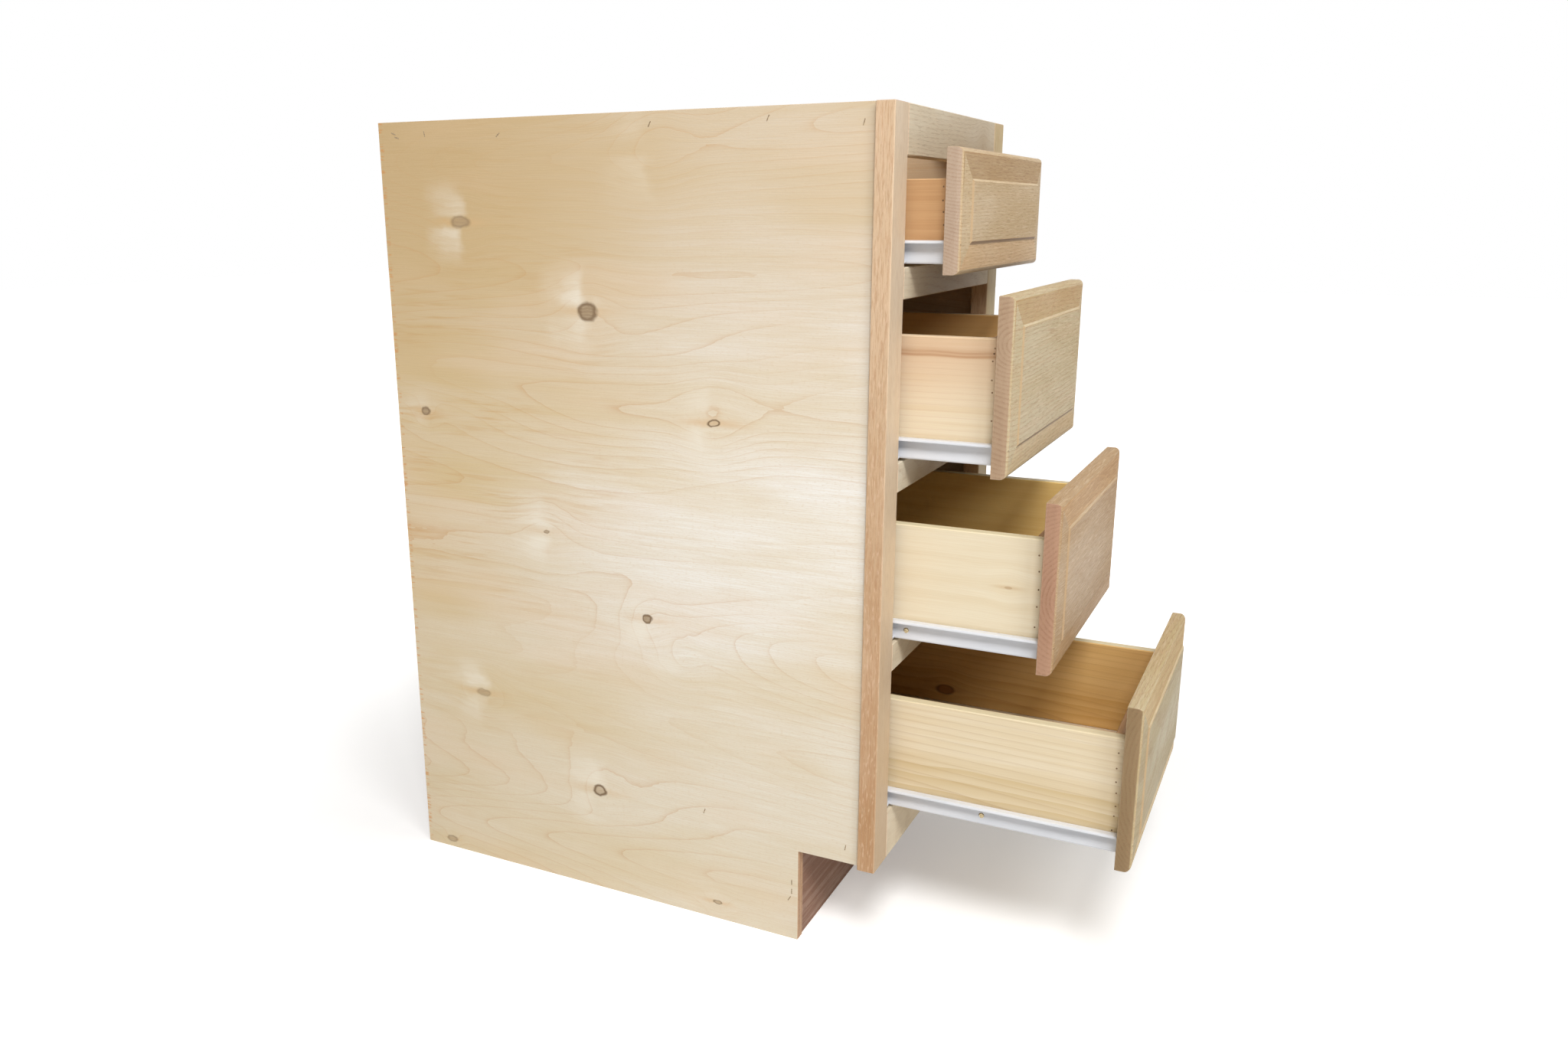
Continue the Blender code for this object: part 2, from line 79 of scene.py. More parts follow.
def screen(red, green, blue):
    """A linear colour from screen values of 0 to 255."""

    def linear(value):
        value /= 255
        return value / 12.92 if value <= 0.04045 else ((value + 0.055) / 1.055) ** 2.4

    return (linear(red), linear(green), linear(blue), 1.0)


def toned(tones, **changes):
    """A copy of a set of tones with changes: three screen values for a colour, or four factors."""
    made = dict(tones)
    for label, value in changes.items():
        made[label.replace("_", " ")] = screen(*value) if len(value) == 3 else value
    return made


# Node trees


class Graph:
    """Adds linked nodes to one tree. A colour can be given by its name in tones."""

    def __init__(self, tree, tones=None):
        self.tree = tree
        self.tones = tones

    def feed(self, socket, value):
        if isinstance(value, bpy.types.NodeSocket):
            self.tree.links.new(value, socket)
        else:
            socket.default_value = value

    def node(self, kind, inputs=None, **settings):
        made = self.tree.nodes.new(kind)
        for name, value in settings.items():
            setattr(made, name, value)
        for name, value in (inputs or {}).items():
            self.feed(made.inputs[name], value)
        return made

    def math(self, operation, *values, clamp=False):
        inputs = dict(enumerate(values))
        return self.node("ShaderNodeMath", inputs, operation=operation, use_clamp=clamp).outputs[0]

    def times(self, *values, clamp=False):
        return self.math("MULTIPLY", *values, clamp=clamp)

    def times_plus(self, first, second, added):
        return self.math("MULTIPLY_ADD", first, second, added)

    def minus(self, first, second):
        return self.math("SUBTRACT", first, second)

    def absolute(self, value):
        return self.math("ABSOLUTE", value)

    def sum_squares(self, first, second):
        return self.times_plus(second, second, self.times(first, first))

    def vector(self, operation, *values):
        made = self.node("ShaderNodeVectorMath", dict(enumerate(values)), operation=operation)
        return made.outputs["Value" if operation in ("LENGTH", "DOT_PRODUCT") else "Vector"]

    def part(self, vector, axis):
        return self.node("ShaderNodeSeparateXYZ", {0: vector}).outputs[axis]

    def joined(self, *parts):
        return self.node("ShaderNodeCombineXYZ", dict(enumerate(parts))).outputs[0]

    def own(self, label="Object"):
        return self.node("ShaderNodeTexCoord").outputs[label]

    def smooth(self, value, low, high, start=0, end=1):
        inputs = {0: value, 1: low, 2: high, 3: start, 4: end}
        return self.node("ShaderNodeMapRange", inputs, interpolation_type="SMOOTHSTEP").outputs[0]

    def mix(self, factor, first, second, blend="MIX"):
        first, second = (self.tones[tint] if isinstance(tint, str) else tint for tint in (first, second))
        inputs = {0: factor, 6: first, 7: second}
        return self.node("ShaderNodeMix", inputs, data_type="RGBA", blend_type=blend).outputs[2]

    def noise(self, vector, scale=1, detail=2, roughness=0.5, output=0):
        inputs = {"Vector": vector, "Scale": scale, "Detail": detail, "Roughness": roughness}
        return self.node("ShaderNodeTexNoise", inputs).outputs[output]

    def wander(self, vector, scale, roughness):
        """A vector that drifts about zero over the surface."""
        drift = self.noise(vector, scale=scale, roughness=roughness, output="Color")
        return self.vector("SUBTRACT", drift, (0.5, 0.5, 0.5))

    def stretched(self, vector, stretch, **settings):
        return self.noise(self.vector("MULTIPLY", vector, stretch), **settings)

    def patches(self, vector, stretch, low, high, start=0, end=1, **settings):
        """Soft patches of stretched noise."""
        return self.smooth(self.stretched(vector, stretch, **settings), low, high, start, end)

    def group(self, tree, **inputs):
        made = self.node("ShaderNodeGroup", node_tree=tree)
        for name, value in inputs.items():
            self.feed(made.inputs[name.replace("_", " ")], value)
        return made.outputs

    def fibre(self, vector, length, width):
        return self.group(fibres, Vector=vector, Length=length, Width=width)[0]

    def shown_directly(self):
        """1 for what the camera sees, also in a gloss or through glass, and 0 for what lights the scene."""
        path = self.node("ShaderNodeLightPath").outputs
        seen = self.math("ADD", path["Is Camera Ray"], path["Is Glossy Ray"], clamp=True)
        return self.math("ADD", seen, path["Is Transmission Ray"], clamp=True)


def new_group(name, results, **inputs):
    """An empty shader group: its graph, its input sockets and a function that feeds its results."""
    tree = bpy.data.node_groups.new(name, "ShaderNodeTree")
    for label, value in inputs.items():
        kind = "NodeSocketVector" if value is None or isinstance(value, tuple) else "NodeSocketFloat"
        socket = tree.interface.new_socket(name=label.replace("_", " "), in_out="INPUT", socket_type=kind)
        if value is not None:
            socket.default_value = value
    for label in results:
        tree.interface.new_socket(name=label, in_out="OUTPUT", socket_type="NodeSocketFloat")
    graph = Graph(tree)
    given, result = graph.node("NodeGroupInput").outputs, graph.node("NodeGroupOutput").inputs

    def give(label, value):
        graph.feed(result[label], value)

    return graph, given, give


def make_fibres():
    """Fine streaks along X, about Length long and Width across."""
    graph, given, give = new_group("wood fibres", ("Fibre",), Vector=None, Length=0.06, Width=0.001)
    along = graph.math("DIVIDE", 1, given["Length"])
    across = graph.math("DIVIDE", 1, given["Width"])
    stretch = graph.joined(along, across, across)
    give("Fibre", graph.patches(given["Vector"], stretch, 0.3, 0.7, detail=3, roughness=0.6))
    return graph.tree


def make_contours():
    """Thin lines where the year layers run out of a peeled veneer."""
    graph, given, give = new_group(
        "veneer contours", ("Line", "Shade"), Vector=None, Count=22, Lift=0, Slope=5
    )
    height = graph.stretched(given["Vector"], (1.3, 7.5, 7.5), detail=0.8, roughness=0.4)
    ragged = graph.stretched(given["Vector"], (34, 150, 150))
    layers = graph.times_plus(height, given["Count"], given["Lift"])
    layers = graph.times_plus(ragged, 0.14, layers)
    layers = graph.times_plus(graph.part(given["Vector"], "X"), given["Slope"], layers)
    saw = graph.math("FRACT", layers)
    give("Line", graph.math("POWER", saw, 20))
    give("Shade", graph.math("POWER", saw, 2.5))
    return graph.tree


def make_rings():
    """Year rings about an axis near X, as a saw from 0 to 1, and the angle round the axis."""
    graph, given, give = new_group(
        "year rings", ("Ring", "Radius", "Angle"),
        Vector=None, Heart=(0, 0.05, 0.02), Spacing=0.003, Lean=0.03, Waviness=0.012,
    )
    wave = graph.wander(graph.vector("MULTIPLY", given["Vector"], (1.6, 9, 9)), 1, 0.45)
    wave = graph.vector("SCALE", wave)
    graph.feed(wave.node.inputs["Scale"], given["Waviness"])
    place = graph.vector("SUBTRACT", given["Vector"], given["Heart"])
    place = graph.vector("ADD", place, wave)
    across = graph.part(place, "Y")
    depth = graph.times_plus(graph.part(place, "X"), given["Lean"], graph.part(place, "Z"))
    radius = graph.math("SQRT", graph.sum_squares(across, depth))
    give("Ring", graph.math("FRACT", graph.math("DIVIDE", radius, given["Spacing"])))
    give("Radius", radius)
    give("Angle", graph.math("ARCTAN2", across, depth))
    return graph.tree


def make_knot():
    """One knot: its core and rim, the pale grain beside it, its warm tail and how it bends the fibres."""
    graph, given, give = new_group(
        "knot", ("Core", "Rim", "Halo", "Tail", "Lift", "Bend"),
        Vector=None, Along=0, Up=0, Half_Length=0.01, Half_Height=0.008, Reach=0.045, Above=0.7, Below=0.7,
    )
    along = graph.minus(graph.part(given["Vector"], "X"), given["Along"])
    up = graph.minus(graph.part(given["Vector"], "Y"), given["Up"])
    core_along = graph.math("DIVIDE", along, given["Half Length"])
    core_up = graph.math("DIVIDE", up, given["Half Height"])
    away = graph.math("SQRT", graph.sum_squares(core_along, core_up))
    give("Core", graph.smooth(away, 0.8, 1.1, 1, 0))
    give("Rim", graph.times(graph.smooth(away, 0.6, 0.95), graph.smooth(away, 0.95, 1.35, 1, 0)))

    share_along = graph.math("DIVIDE", along, given["Reach"])
    share_up = graph.math("DIVIDE", up, given["Reach"])
    height = graph.absolute(share_up)
    drift = graph.minus(graph.stretched(given["Vector"], (28, 24, 1)), 0.5)
    drifted = graph.times_plus(drift, 1.1, share_along)
    lobes = graph.times(graph.smooth(height, 0.02, 0.25), graph.smooth(height, 0.25, 1.2, 1, 0))
    sided = graph.minus(given["Above"], given["Below"])
    sided = graph.times_plus(sided, graph.smooth(share_up, -0.1, 0.1), given["Below"])
    band = graph.times(graph.smooth(drifted, -1.3, -0.15), graph.smooth(drifted, -0.24, 0.2, 1, 0))
    strands = graph.stretched(given["Vector"], (16, 150, 1), roughness=0.6)
    halo = graph.times(graph.times(lobes, band), sided)
    give("Halo", graph.times(halo, graph.smooth(strands, 0.34, 0.6, 0.68, 1)))
    thin = graph.smooth(height, 0, 0.16, 1, 0)
    give("Tail", graph.times(thin, graph.smooth(graph.absolute(share_along), 0.1, 1.2, 1, 0)))

    hill = graph.math("POWER", math.e, graph.times(graph.sum_squares(share_along, share_up), -1.6))
    give("Lift", hill)
    give("Bend", graph.times(up, hill))
    return graph.tree


def make_pores():
    """The open pores of oak: short dark dashes along X, crowded in the early part of each ring."""
    graph, given, give = new_group("oak pores", ("Pore", "Early"), Vector=None, Ring=0, Length=0.012)
    stretch = graph.joined(graph.math("DIVIDE", 1, given["Length"]), 1500, 1500)
    dashes = graph.stretched(given["Vector"], stretch, roughness=0.55)
    early = graph.smooth(given["Ring"], 0.15, 0.6, 1, 0)
    level = graph.times_plus(early, -0.09, 0.60)
    give("Pore", graph.smooth(graph.minus(dashes, level), 0, 0.07))
    give("Early", early)
    return graph.tree


def make_arris():
    """How near a corner of the piece is, from 0 on a flat to 1 on the corner."""
    graph, given, give = new_group("arris", ("Mask",), Radius=0.002)
    rounded = graph.node("ShaderNodeBevel", {"Radius": given["Radius"]}, samples=4).outputs[0]
    straight = graph.node("ShaderNodeNewGeometry").outputs["Normal"]
    give("Mask", graph.smooth(graph.vector("DOT_PRODUCT", rounded, straight), 0.97, 0.8))
    return graph.tree


def make_plies():
    """The glued layers on a sawn plywood edge, by the place Through the sheet from 0 to 1."""
    graph, given, give = new_group(
        "ply layers", ("Cross", "Glue", "Gap"), Vector=None, Through=0, Layers=5
    )
    wander = graph.minus(graph.noise(given["Vector"], scale=60, detail=1), 0.5)
    count = graph.times_plus(wander, 0.25, graph.times(given["Through"], given["Layers"]))
    give("Cross", graph.math("GREATER_THAN", graph.math("FRACT", graph.times(count, 0.5)), 0.5))
    line = graph.absolute(graph.minus(graph.math("FRACT", count), 0.5))
    give("Glue", graph.smooth(line, 0.4, 0.5))
    give("Gap", graph.smooth(graph.noise(given["Vector"], scale=700), 0.56, 0.68))
    return graph.tree


fibres = make_fibres()
contours = make_contours()
rings = make_rings()
knot = make_knot()
pores = make_pores()
arris = make_arris()
plies = make_plies()

# The first values of a knot's row, as the knot group's inputs
knot_sizes = ("Along", "Up", "Half_Length", "Half_Height", "Reach")


# Materials


def new_material(name, tones=None):
    """The graph of a new material, with its Principled shader."""
    material = bpy.data.materials.new(name)
    material.use_nodes = True
    material.node_tree.nodes.clear()
    graph = Graph(material.node_tree, tones)
    graph.material = material
    graph.shader = graph.node("ShaderNodeBsdfPrincipled")
    graph.node("ShaderNodeOutputMaterial", {"Surface": graph.shader.outputs[0]})
    return graph


class Coats:
    """A colour built up in coats over a first mix of two tones."""

    def __init__(self, graph, mask, first, second):
        self.graph = graph
        self.colour = graph.mix(mask, first, second)

    def lay(self, mask, tint, blend="MIX"):
        self.colour = self.graph.mix(mask, self.colour, tint, blend)

    def coat(self, mask, weight, tint, clamp=False):
        self.lay(self.graph.times(mask, weight, clamp=clamp), tint)

    def wear_and_sheen(self, radius, weight, tint):
        """Tints the corners of the piece: a worn look on the woods and boards, and a painted highlight on the edges
        of enamel and plated steel.
        """
        self.coat(self.graph.group(arris, Radius=radius)[0], weight, tint)

    def finish(self, roughness, height, depth, relief=0.6, gloss=0.3):
        """Connects the colour, the roughness and the relief, and gives the material."""
        graph, inputs = self.graph, self.graph.shader.inputs
        graph.feed(inputs["Base Color"], self.colour)
        graph.feed(inputs["Roughness"], roughness)
        inputs["Specular IOR Level"].default_value = gloss
        bump = graph.node("ShaderNodeBump", {"Height": height, "Distance": depth, "Strength": relief})
        graph.feed(inputs["Normal"], bump.outputs[0])
        return graph.material


def grain_space(graph, axes, turn=(1, 1, 1), shift=(0, 0, 0)):
    """The piece's own coordinates, turned so that X runs with the grain and Z into the board."""
    place = graph.own()
    turned = graph.joined(*(graph.part(place, axis) for axis in axes))
    return graph.vector("ADD", graph.vector("MULTIPLY", turned, turn), shift)


def facing(graph, axis):
    """1 where the piece's face looks along this axis, either way, and 0 where it looks across."""
    return graph.smooth(graph.absolute(graph.part(graph.own("Normal"), axis)), 0.55, 0.8)


def ply_edge(graph, place, sheet):
    """The layers of a sheet, given as its lower and upper face along Z and their number."""
    low, high, layers = sheet
    through = graph.smooth(graph.part(place, "Z"), low, high)
    through.node.interpolation_type = "LINEAR"
    cut = graph.group(plies, Vector=place, Through=through, Layers=layers)
    edge = Coats(graph, cut["Cross"], "edge", "cross")
    edge.coat(cut["Glue"], 0.75, "glue")
    edge.coat(cut["Gap"], cut["Cross"], "glue")
    return edge.colour


def birch_material(
    name, knots, tones, axes="YZX", turn=(1, 1, 1), shift=(0, 0, 0), face_axis="X",
    sheet=None, tear=False, inner=None,
):
    """Rotary-cut birch plywood with knots, and its layers on the sawn edges."""
    graph = new_material(name, tones)
    place = grain_space(graph, axes, turn)
    pattern = graph.vector("ADD", place, shift)
    jitter = graph.vector("MULTIPLY", graph.wander(place, 70, 0.55), (0.008, 0.006, 0))
    near = graph.vector("ADD", place, jitter)
    totals = {}
    marks = []
    for *sizes, core, rim, above, below, tail in knots:
        found = graph.group(knot, Vector=near, Above=above, Below=below, **dict(zip(knot_sizes, sizes)))
        for label, weight in (("Halo", 1), ("Tail", tail), ("Lift", 1.3), ("Bend", -0.5)):
            totals[label] = graph.times_plus(found[label], weight, totals.get(label, 0))
        marks.append((found, core, rim))
    if marks:
        pattern = graph.vector("ADD", pattern, graph.joined(0, totals["Bend"]))

    fine = graph.fibre(pattern, 0.045, 0.0011)
    broad = graph.fibre(pattern, 0.28, 0.0075)
    zones = graph.stretched(pattern, (2.6, 9.5, 9.5), detail=2.5, roughness=0.55)
    figure = graph.group(contours, Vector=pattern, Count=24, Lift=totals.get("Lift", 0))
    back, up, inward = (graph.part(place, axis) for axis in "XYZ")

    amount = graph.smooth(zones, 0.36, 0.68, 0, 0.46)
    amount = graph.times_plus(graph.minus(broad, 0.5), 0.15, amount)
    amount = graph.times_plus(figure["Shade"], 0.08, amount)
    # Painted shade: the panel is darkened towards its back end and its top, where less light falls.
    rear = graph.times(graph.smooth(back, 0, 0.44, 0.62, 0), graph.smooth(up, 0.1, 0.4, 0.5, 1))
    amount = graph.math("ADD", amount, rear, clamp=True)
    paint = Coats(graph, amount, "pale", "tan")
    bands = graph.patches(pattern, (13, 190, 190), 0.47, 0.7, detail=3, roughness=0.6)
    patches = graph.patches(place, (5, 16, 16), 0.38, 0.6, detail=1)
    for share in (patches, graph.smooth(back, 0.04, 0.4, 0.75, 0.08), graph.smooth(up, 0.15, 0.55, 0.45, 1)):
        bands = graph.times(bands, share)
    paint.lay(bands, "band")
    # Painted shade along the top of the panel, deepest at the back end.
    corner = graph.times(graph.smooth(back, 0, 0.5, 0.9, 0.6), graph.smooth(up, 0.45, 0.86))
    paint.lay(corner, "deep")
    paint.coat(rear, 0.5, "deep")
    paint.lay(graph.smooth(up, 0.5, 0.1, 0, 0.5), "low")
    paint.coat(fine, 0.27, "fibre")
    flecks = graph.patches(pattern, (230, 1200, 1200), 0.56, 0.72, 0, 0.28, detail=1)
    paint.lay(flecks, "fibre")
    blush = graph.patches(pattern, (5, 14, 14), 0.45, 0.7, 0, 0.2, detail=1)
    paint.lay(blush, "blush")
    shown = graph.patches(pattern, (3, 6, 6), 0.36, 0.62, 0.1, 0.42, detail=1)
    paint.coat(figure["Line"], shown, "line")
    if marks:
        paint.coat(totals["Halo"], 0.78, "silver", clamp=True)
        paint.coat(totals["Tail"], 0.5, "tail", clamp=True)
    for found, core, rim in marks:
        paint.coat(found["Core"], graph.smooth(fine, 0, 1, core * 0.75, core), "core")
        paint.coat(found["Rim"], rim, "rim")
    if tear:
        ticks = graph.patches(place, (60, 420, 40), 0.52, 0.64)
        paint.coat(ticks, graph.smooth(back, 0.0035, 0.0075, 0.6, 0), "torn")
    # Painted shade on the panel's inner face, inside the cabinet.
    if inner:
        paint.lay(graph.smooth(inward, *inner, 0, 0.9), "inner", "MULTIPLY")
    if sheet:
        paint.colour = graph.mix(facing(graph, face_axis), ply_edge(graph, place, sheet), paint.colour)
    paint.wear_and_sheen(0.0012, 0.3, "tan")
    height = graph.times_plus(fine, 0.6, graph.times(broad, 0.4))
    return paint.finish(graph.smooth(broad, 0, 1, 0.5, 0.62), height, 0.00015)


def oak_end(graph, pattern, ring, pore, cloud):
    """The end grain of oak: broken dark rings and pale rays."""
    across = graph.joined(graph.times(ring["Angle"], 900), graph.times(ring["Radius"], 60))
    rays = graph.smooth(graph.noise(across, detail=1), 0.52, 0.66)
    broken = graph.smooth(graph.noise(pattern, scale=260), 0.35, 0.65, 0.15, 0.75)
    early = graph.times(graph.smooth(ring["Ring"], 0, 0.7, 1, 0), broken)
    end = Coats(graph, early, "end", "end dark")
    end.lay(graph.smooth(cloud, 0.3, 0.7, 0, 0.5), "end pale")
    end.coat(rays, 0.3, "end pale")
    end.coat(pore, 0.45, "pore")
    return end.colour


def front_profile(graph, paint, place, pattern, foot, head):
    """Lays the sloped border, the field and its steps on a drawer front, with painted light and shade on faces by
    the way they turn and a painted shadow under the field; gives the mask of the side steps.
    """
    normal = graph.own("Normal")
    rise = graph.part(normal, "Z")
    flames = graph.group(contours, Vector=pattern, Count=30, Slope=4)["Line"]
    sloping = graph.smooth(graph.absolute(rise), 0.03, 0.07, 0.35, 0.7)
    paint.coat(flames, sloping, "early")
    # Painted light and shade: the borders sloping up and down are tinted by the way they face.
    for label, slope in (("border", rise), ("low border", graph.times(rise, -1))):
        sloped = graph.times(graph.smooth(slope, 0.03, 0.07), graph.smooth(slope, 0.2, 0.35, 0.9, 0))
        paint.lay(sloped, label, "MULTIPLY")
    # The flat field gets its own tint by the way it faces, as painted light and shade.
    level = graph.smooth(graph.absolute(rise), 0.02, 0.05, 1, 0)
    flat = graph.times(level, graph.smooth(graph.part(normal, "Y"), -0.99, -0.998))
    paint.lay(flat, "field", "MULTIPLY")
    up = graph.part(place, "Y")
    # Painted shade on the field's lower step and a painted highlight on its upper step.
    under = graph.times(graph.smooth(rise, -0.35, -0.5), graph.smooth(up, foot + 0.012, foot + 0.018))
    paint.coat(under, 0.8, "step")
    over = graph.times(graph.smooth(rise, 0.35, 0.5), graph.smooth(up, head - 0.018, head - 0.024))
    paint.coat(over, 0.25, "lit step")
    aside = graph.smooth(graph.absolute(graph.part(normal, "X")), 0.35, 0.5)
    beside = graph.times(aside, graph.smooth(graph.absolute(graph.part(place, "X")), 0.1340, 0.1325))
    # A painted shadow line on the low border just under the field.
    seam = graph.absolute(graph.minus(up, foot + front_border - 0.0004))
    seam = graph.times(graph.smooth(seam, 0.0002, 0.0011, 0.7, 0), graph.smooth(rise, -0.02, -0.05))
    paint.lay(seam, "step")
    return beside


def stile_edge(graph, paint, place, pattern, fine, cloud):
    """Darkens a stile towards the floor and lays its dashed and mottled outer edge."""
    up = graph.part(place, "X")
    paint.lay(graph.smooth(up, 0.1, 0.6, 0.55, 0), "low")
    stain = Coats(graph, graph.smooth(up, 0.1, 0.8), "edge low", "edge high")
    stain.lay(graph.smooth(cloud, 0.3, 0.7, 0, 0.45), "edge mottle")
    dashes = graph.patches(pattern, (60, 760, 760), 0.46, 0.62, 0, 0.5, detail=3, roughness=0.7)
    stain.lay(dashes, "edge dark")
    glints = graph.patches(pattern, (120, 500, 500), 0.55, 0.7, 0, 0.45)
    stain.lay(glints, "edge mottle")
    stain.lay(graph.smooth(fine, 0.4, 1, 0, 0.3), "early")
    paint.lay(facing(graph, "X"), stain.colour)


def oak_material(
    name, tones, axes, end_axis, heart, spacing=0.0035, lean=0.03, shift=(0, 0, 0), strength=1,
    edge=False, step=None, wave=0.02, whorl=None,
):
    """Sanded, unfinished oak: rings, open pores and rays, with darker end grain."""
    graph = new_material(name, tones)
    place = grain_space(graph, axes)
    pattern = graph.vector("ADD", place, shift)
    if whorl:
        along, up, reach = whorl
        found = graph.group(knot, Vector=place, Along=along, Up=up, Reach=reach)
        pattern = graph.vector("ADD", pattern, graph.joined(0, graph.times(found["Bend"], -0.9)))
    ring = graph.group(rings, Vector=pattern, Heart=heart, Spacing=spacing, Lean=lean, Waviness=wave)
    pore, early = graph.group(pores, Vector=pattern, Ring=ring["Ring"], Length=0.014)
    fine = graph.fibre(pattern, 0.03, 0.0012)
    broad = graph.fibre(pattern, 0.3, 0.011)
    cloud = graph.stretched(pattern, (4, 16, 16))

    paint = Coats(graph, graph.smooth(cloud, 0.35, 0.65), "pale", "tan")
    paint.coat(early, 0.4 * strength, "early")
    paint.lay(graph.smooth(broad, 0.35, 1, 0, 0.45 * strength), "streak")
    paint.lay(graph.smooth(fine, 0.5, 1, 0, 0.35), "fleck")
    paint.coat(pore, 0.6 * strength, "pore")
    if whorl:
        paint.coat(found["Lift"], 0.5, "whorl")
        sideways = graph.smooth(graph.part(place, "X"), -0.11, 0.06, 0, 0.5)
        paint.lay(sideways, "whorl")
    if step:
        beside = front_profile(graph, paint, place, pattern, *step)
    paint.lay(facing(graph, end_axis), oak_end(graph, pattern, ring, pore, cloud))
    if edge:
        stile_edge(graph, paint, place, pattern, fine, cloud)
    paint.wear_and_sheen(0.002, 0.4, "worn")
    if step:
        paint.coat(beside, 0.75, "side step")
    height = graph.times_plus(pore, -0.9, graph.times(fine, 0.35))
    return paint.finish(graph.smooth(cloud, 0.3, 0.7, 0.5, 0.62), height, 0.0002)


def top_streak(graph, paint, up, side, pattern, level, drop):
    """Warms a box side towards its top and lays a dark wavy streak along its outer face."""
    paint.lay(graph.smooth(up, level - drop, level, 0, 0.6), "top")
    swaying = graph.times_plus(graph.stretched(pattern, (14, 1, 1)), 0.006, up)
    outer = graph.smooth(graph.absolute(side), 0.130, 0.137)
    for below, width, weight in ((0.0150, 0.0075, 0.35), (0.0145, 0.0016, 0.35), (0.0178, 0.0022, 0.55)):
        streak = graph.absolute(graph.minus(swaying, level - below + 0.003))
        paint.coat(graph.smooth(streak, 0, width, weight, 0), outer, "streak")


def box_wood_material(
    name, tones, axes, end_axis, heart, spacing=0.006, lean=0.02, shift=(0, 0, 0), knots=(), wave=0.02,
    line=0.5, inside=False, top=None, low=None,
):
    """Smooth pale drawer wood with soft year lines."""
    graph = new_material(name, tones)
    place = grain_space(graph, axes)
    side = graph.part(place, "Z")
    if inside:
        place = graph.vector("MULTIPLY", graph.vector("ABSOLUTE", place), (-1, 1, 1))
    totals = {}
    marks = []
    for *sizes, core, rim, tail, where in knots:
        found = graph.group(knot, Vector=place, **dict(zip(knot_sizes, sizes)))
        shown = graph.smooth(side, 0, 0.01 * where)
        for label, weight in (("Tail", tail), ("Bend", -0.6)):
            share = graph.times(found[label], shown)
            totals[label] = graph.times_plus(share, weight, totals.get(label, 0))
        marks.append((found, graph.times(shown, core), graph.times(shown, rim)))
    pattern = graph.vector("ADD", place, shift)
    if marks:
        pattern = graph.vector("ADD", pattern, graph.joined(0, totals["Bend"]))
    ring = graph.group(rings, Vector=pattern, Heart=heart, Spacing=spacing, Lean=lean, Waviness=wave)["Ring"]
    fine = graph.fibre(pattern, 0.05, 0.0009)
    broad = graph.fibre(pattern, 0.35, 0.009)
    late = graph.math("POWER", ring, 6)
    up = graph.part(pattern, "Y")
    paint = Coats(graph, graph.smooth(broad, 0.1, 0.9, 0, 0.7), "pale", "tan")
    if top:
        top_streak(graph, paint, up, side, pattern, *top)
    if low:
        level, step = low
        swaying = graph.times_plus(graph.stretched(pattern, (5, 14, 14), detail=2.5), 0.024, up)
        layer = graph.smooth(graph.math("FRACT", graph.math("DIVIDE", swaying, step)), 0.15, 1, 0.3, 0.8)
        paint.coat(layer, graph.smooth(up, level, level - 0.02), "band")
    paint.coat(fine, 0.2, "fibre")
    fade = graph.stretched(pattern, (3, 10, 10), detail=1)
    paint.coat(late, graph.smooth(fade, 0.35, 0.65, line * 0.4, line), "line")
    if marks:
        paint.coat(totals["Tail"], 0.6, "line", clamp=True)
    for found, core, rim in marks:
        paint.coat(found["Core"], core, "knot")
        paint.coat(found["Rim"], rim, "knot rim")
    end = Coats(graph, ring, "end", "line")
    end.coat(fine, 0.3, "fibre")
    paint.lay(facing(graph, end_axis), end.colour)
    if inside:
        # Painted highlight on the upward-facing top edges of the sides.
        paint.coat(facing(graph, "Z"), 0.55, "top edge")
        # Painted shade: the inside faces of the box are darkened and warmed.
        inner = graph.smooth(graph.absolute(side), 0.1275, 0.1290, 0.9, 0)
        paint.lay(inner, "inside", "MULTIPLY")
    paint.wear_and_sheen(0.0012, 0.35, "pale")
    height = graph.times_plus(late, -0.4, graph.times(fine, 0.5))
    return paint.finish(graph.smooth(broad, 0, 1, 0.48, 0.6), height, 0.00012)


def hardboard_material():
    """Brown pressed fibreboard, smooth with a fine mottle."""
    graph = new_material("hardboard sheet")
    place = graph.own()
    felt = graph.noise(place, scale=900, detail=4, roughness=0.7)
    cloud = graph.noise(place, scale=9, detail=3)
    paint = Coats(graph, graph.smooth(felt, 0.3, 0.7), screen(112, 78, 50), screen(146, 106, 70))
    paint.lay(graph.smooth(cloud, 0.35, 0.65, 0, 0.4), screen(98, 66, 42))
    paint.wear_and_sheen(0.002, 0.5, screen(170, 134, 96))
    return paint.finish(graph.smooth(cloud, 0.3, 0.7, 0.45, 0.65), felt, 0.00012)


def toe_board_material():
    """Reddish thin plywood in the toe space."""
    graph = new_material("toe board veneer")
    place = grain_space(graph, "XZY", shift=(0.3, 0.1, 0))
    fine = graph.fibre(place, 0.03, 0.001)
    broad = graph.fibre(place, 0.2, 0.01)
    dashes = graph.patches(place, (90, 1300, 1300), 0.55, 0.66)
    paint = Coats(graph, graph.smooth(broad, 0.2, 0.8), screen(163, 130, 110), screen(142, 106, 86))
    paint.coat(fine, 0.3, screen(146, 106, 84))
    paint.coat(dashes, 0.5, screen(118, 80, 60))
    paint.wear_and_sheen(0.0015, 0.5, screen(206, 170, 140))
    height = graph.minus(graph.times(fine, 0.5), dashes)
    return paint.finish(graph.smooth(broad, 0, 1, 0.5, 0.65), height, 0.00015)


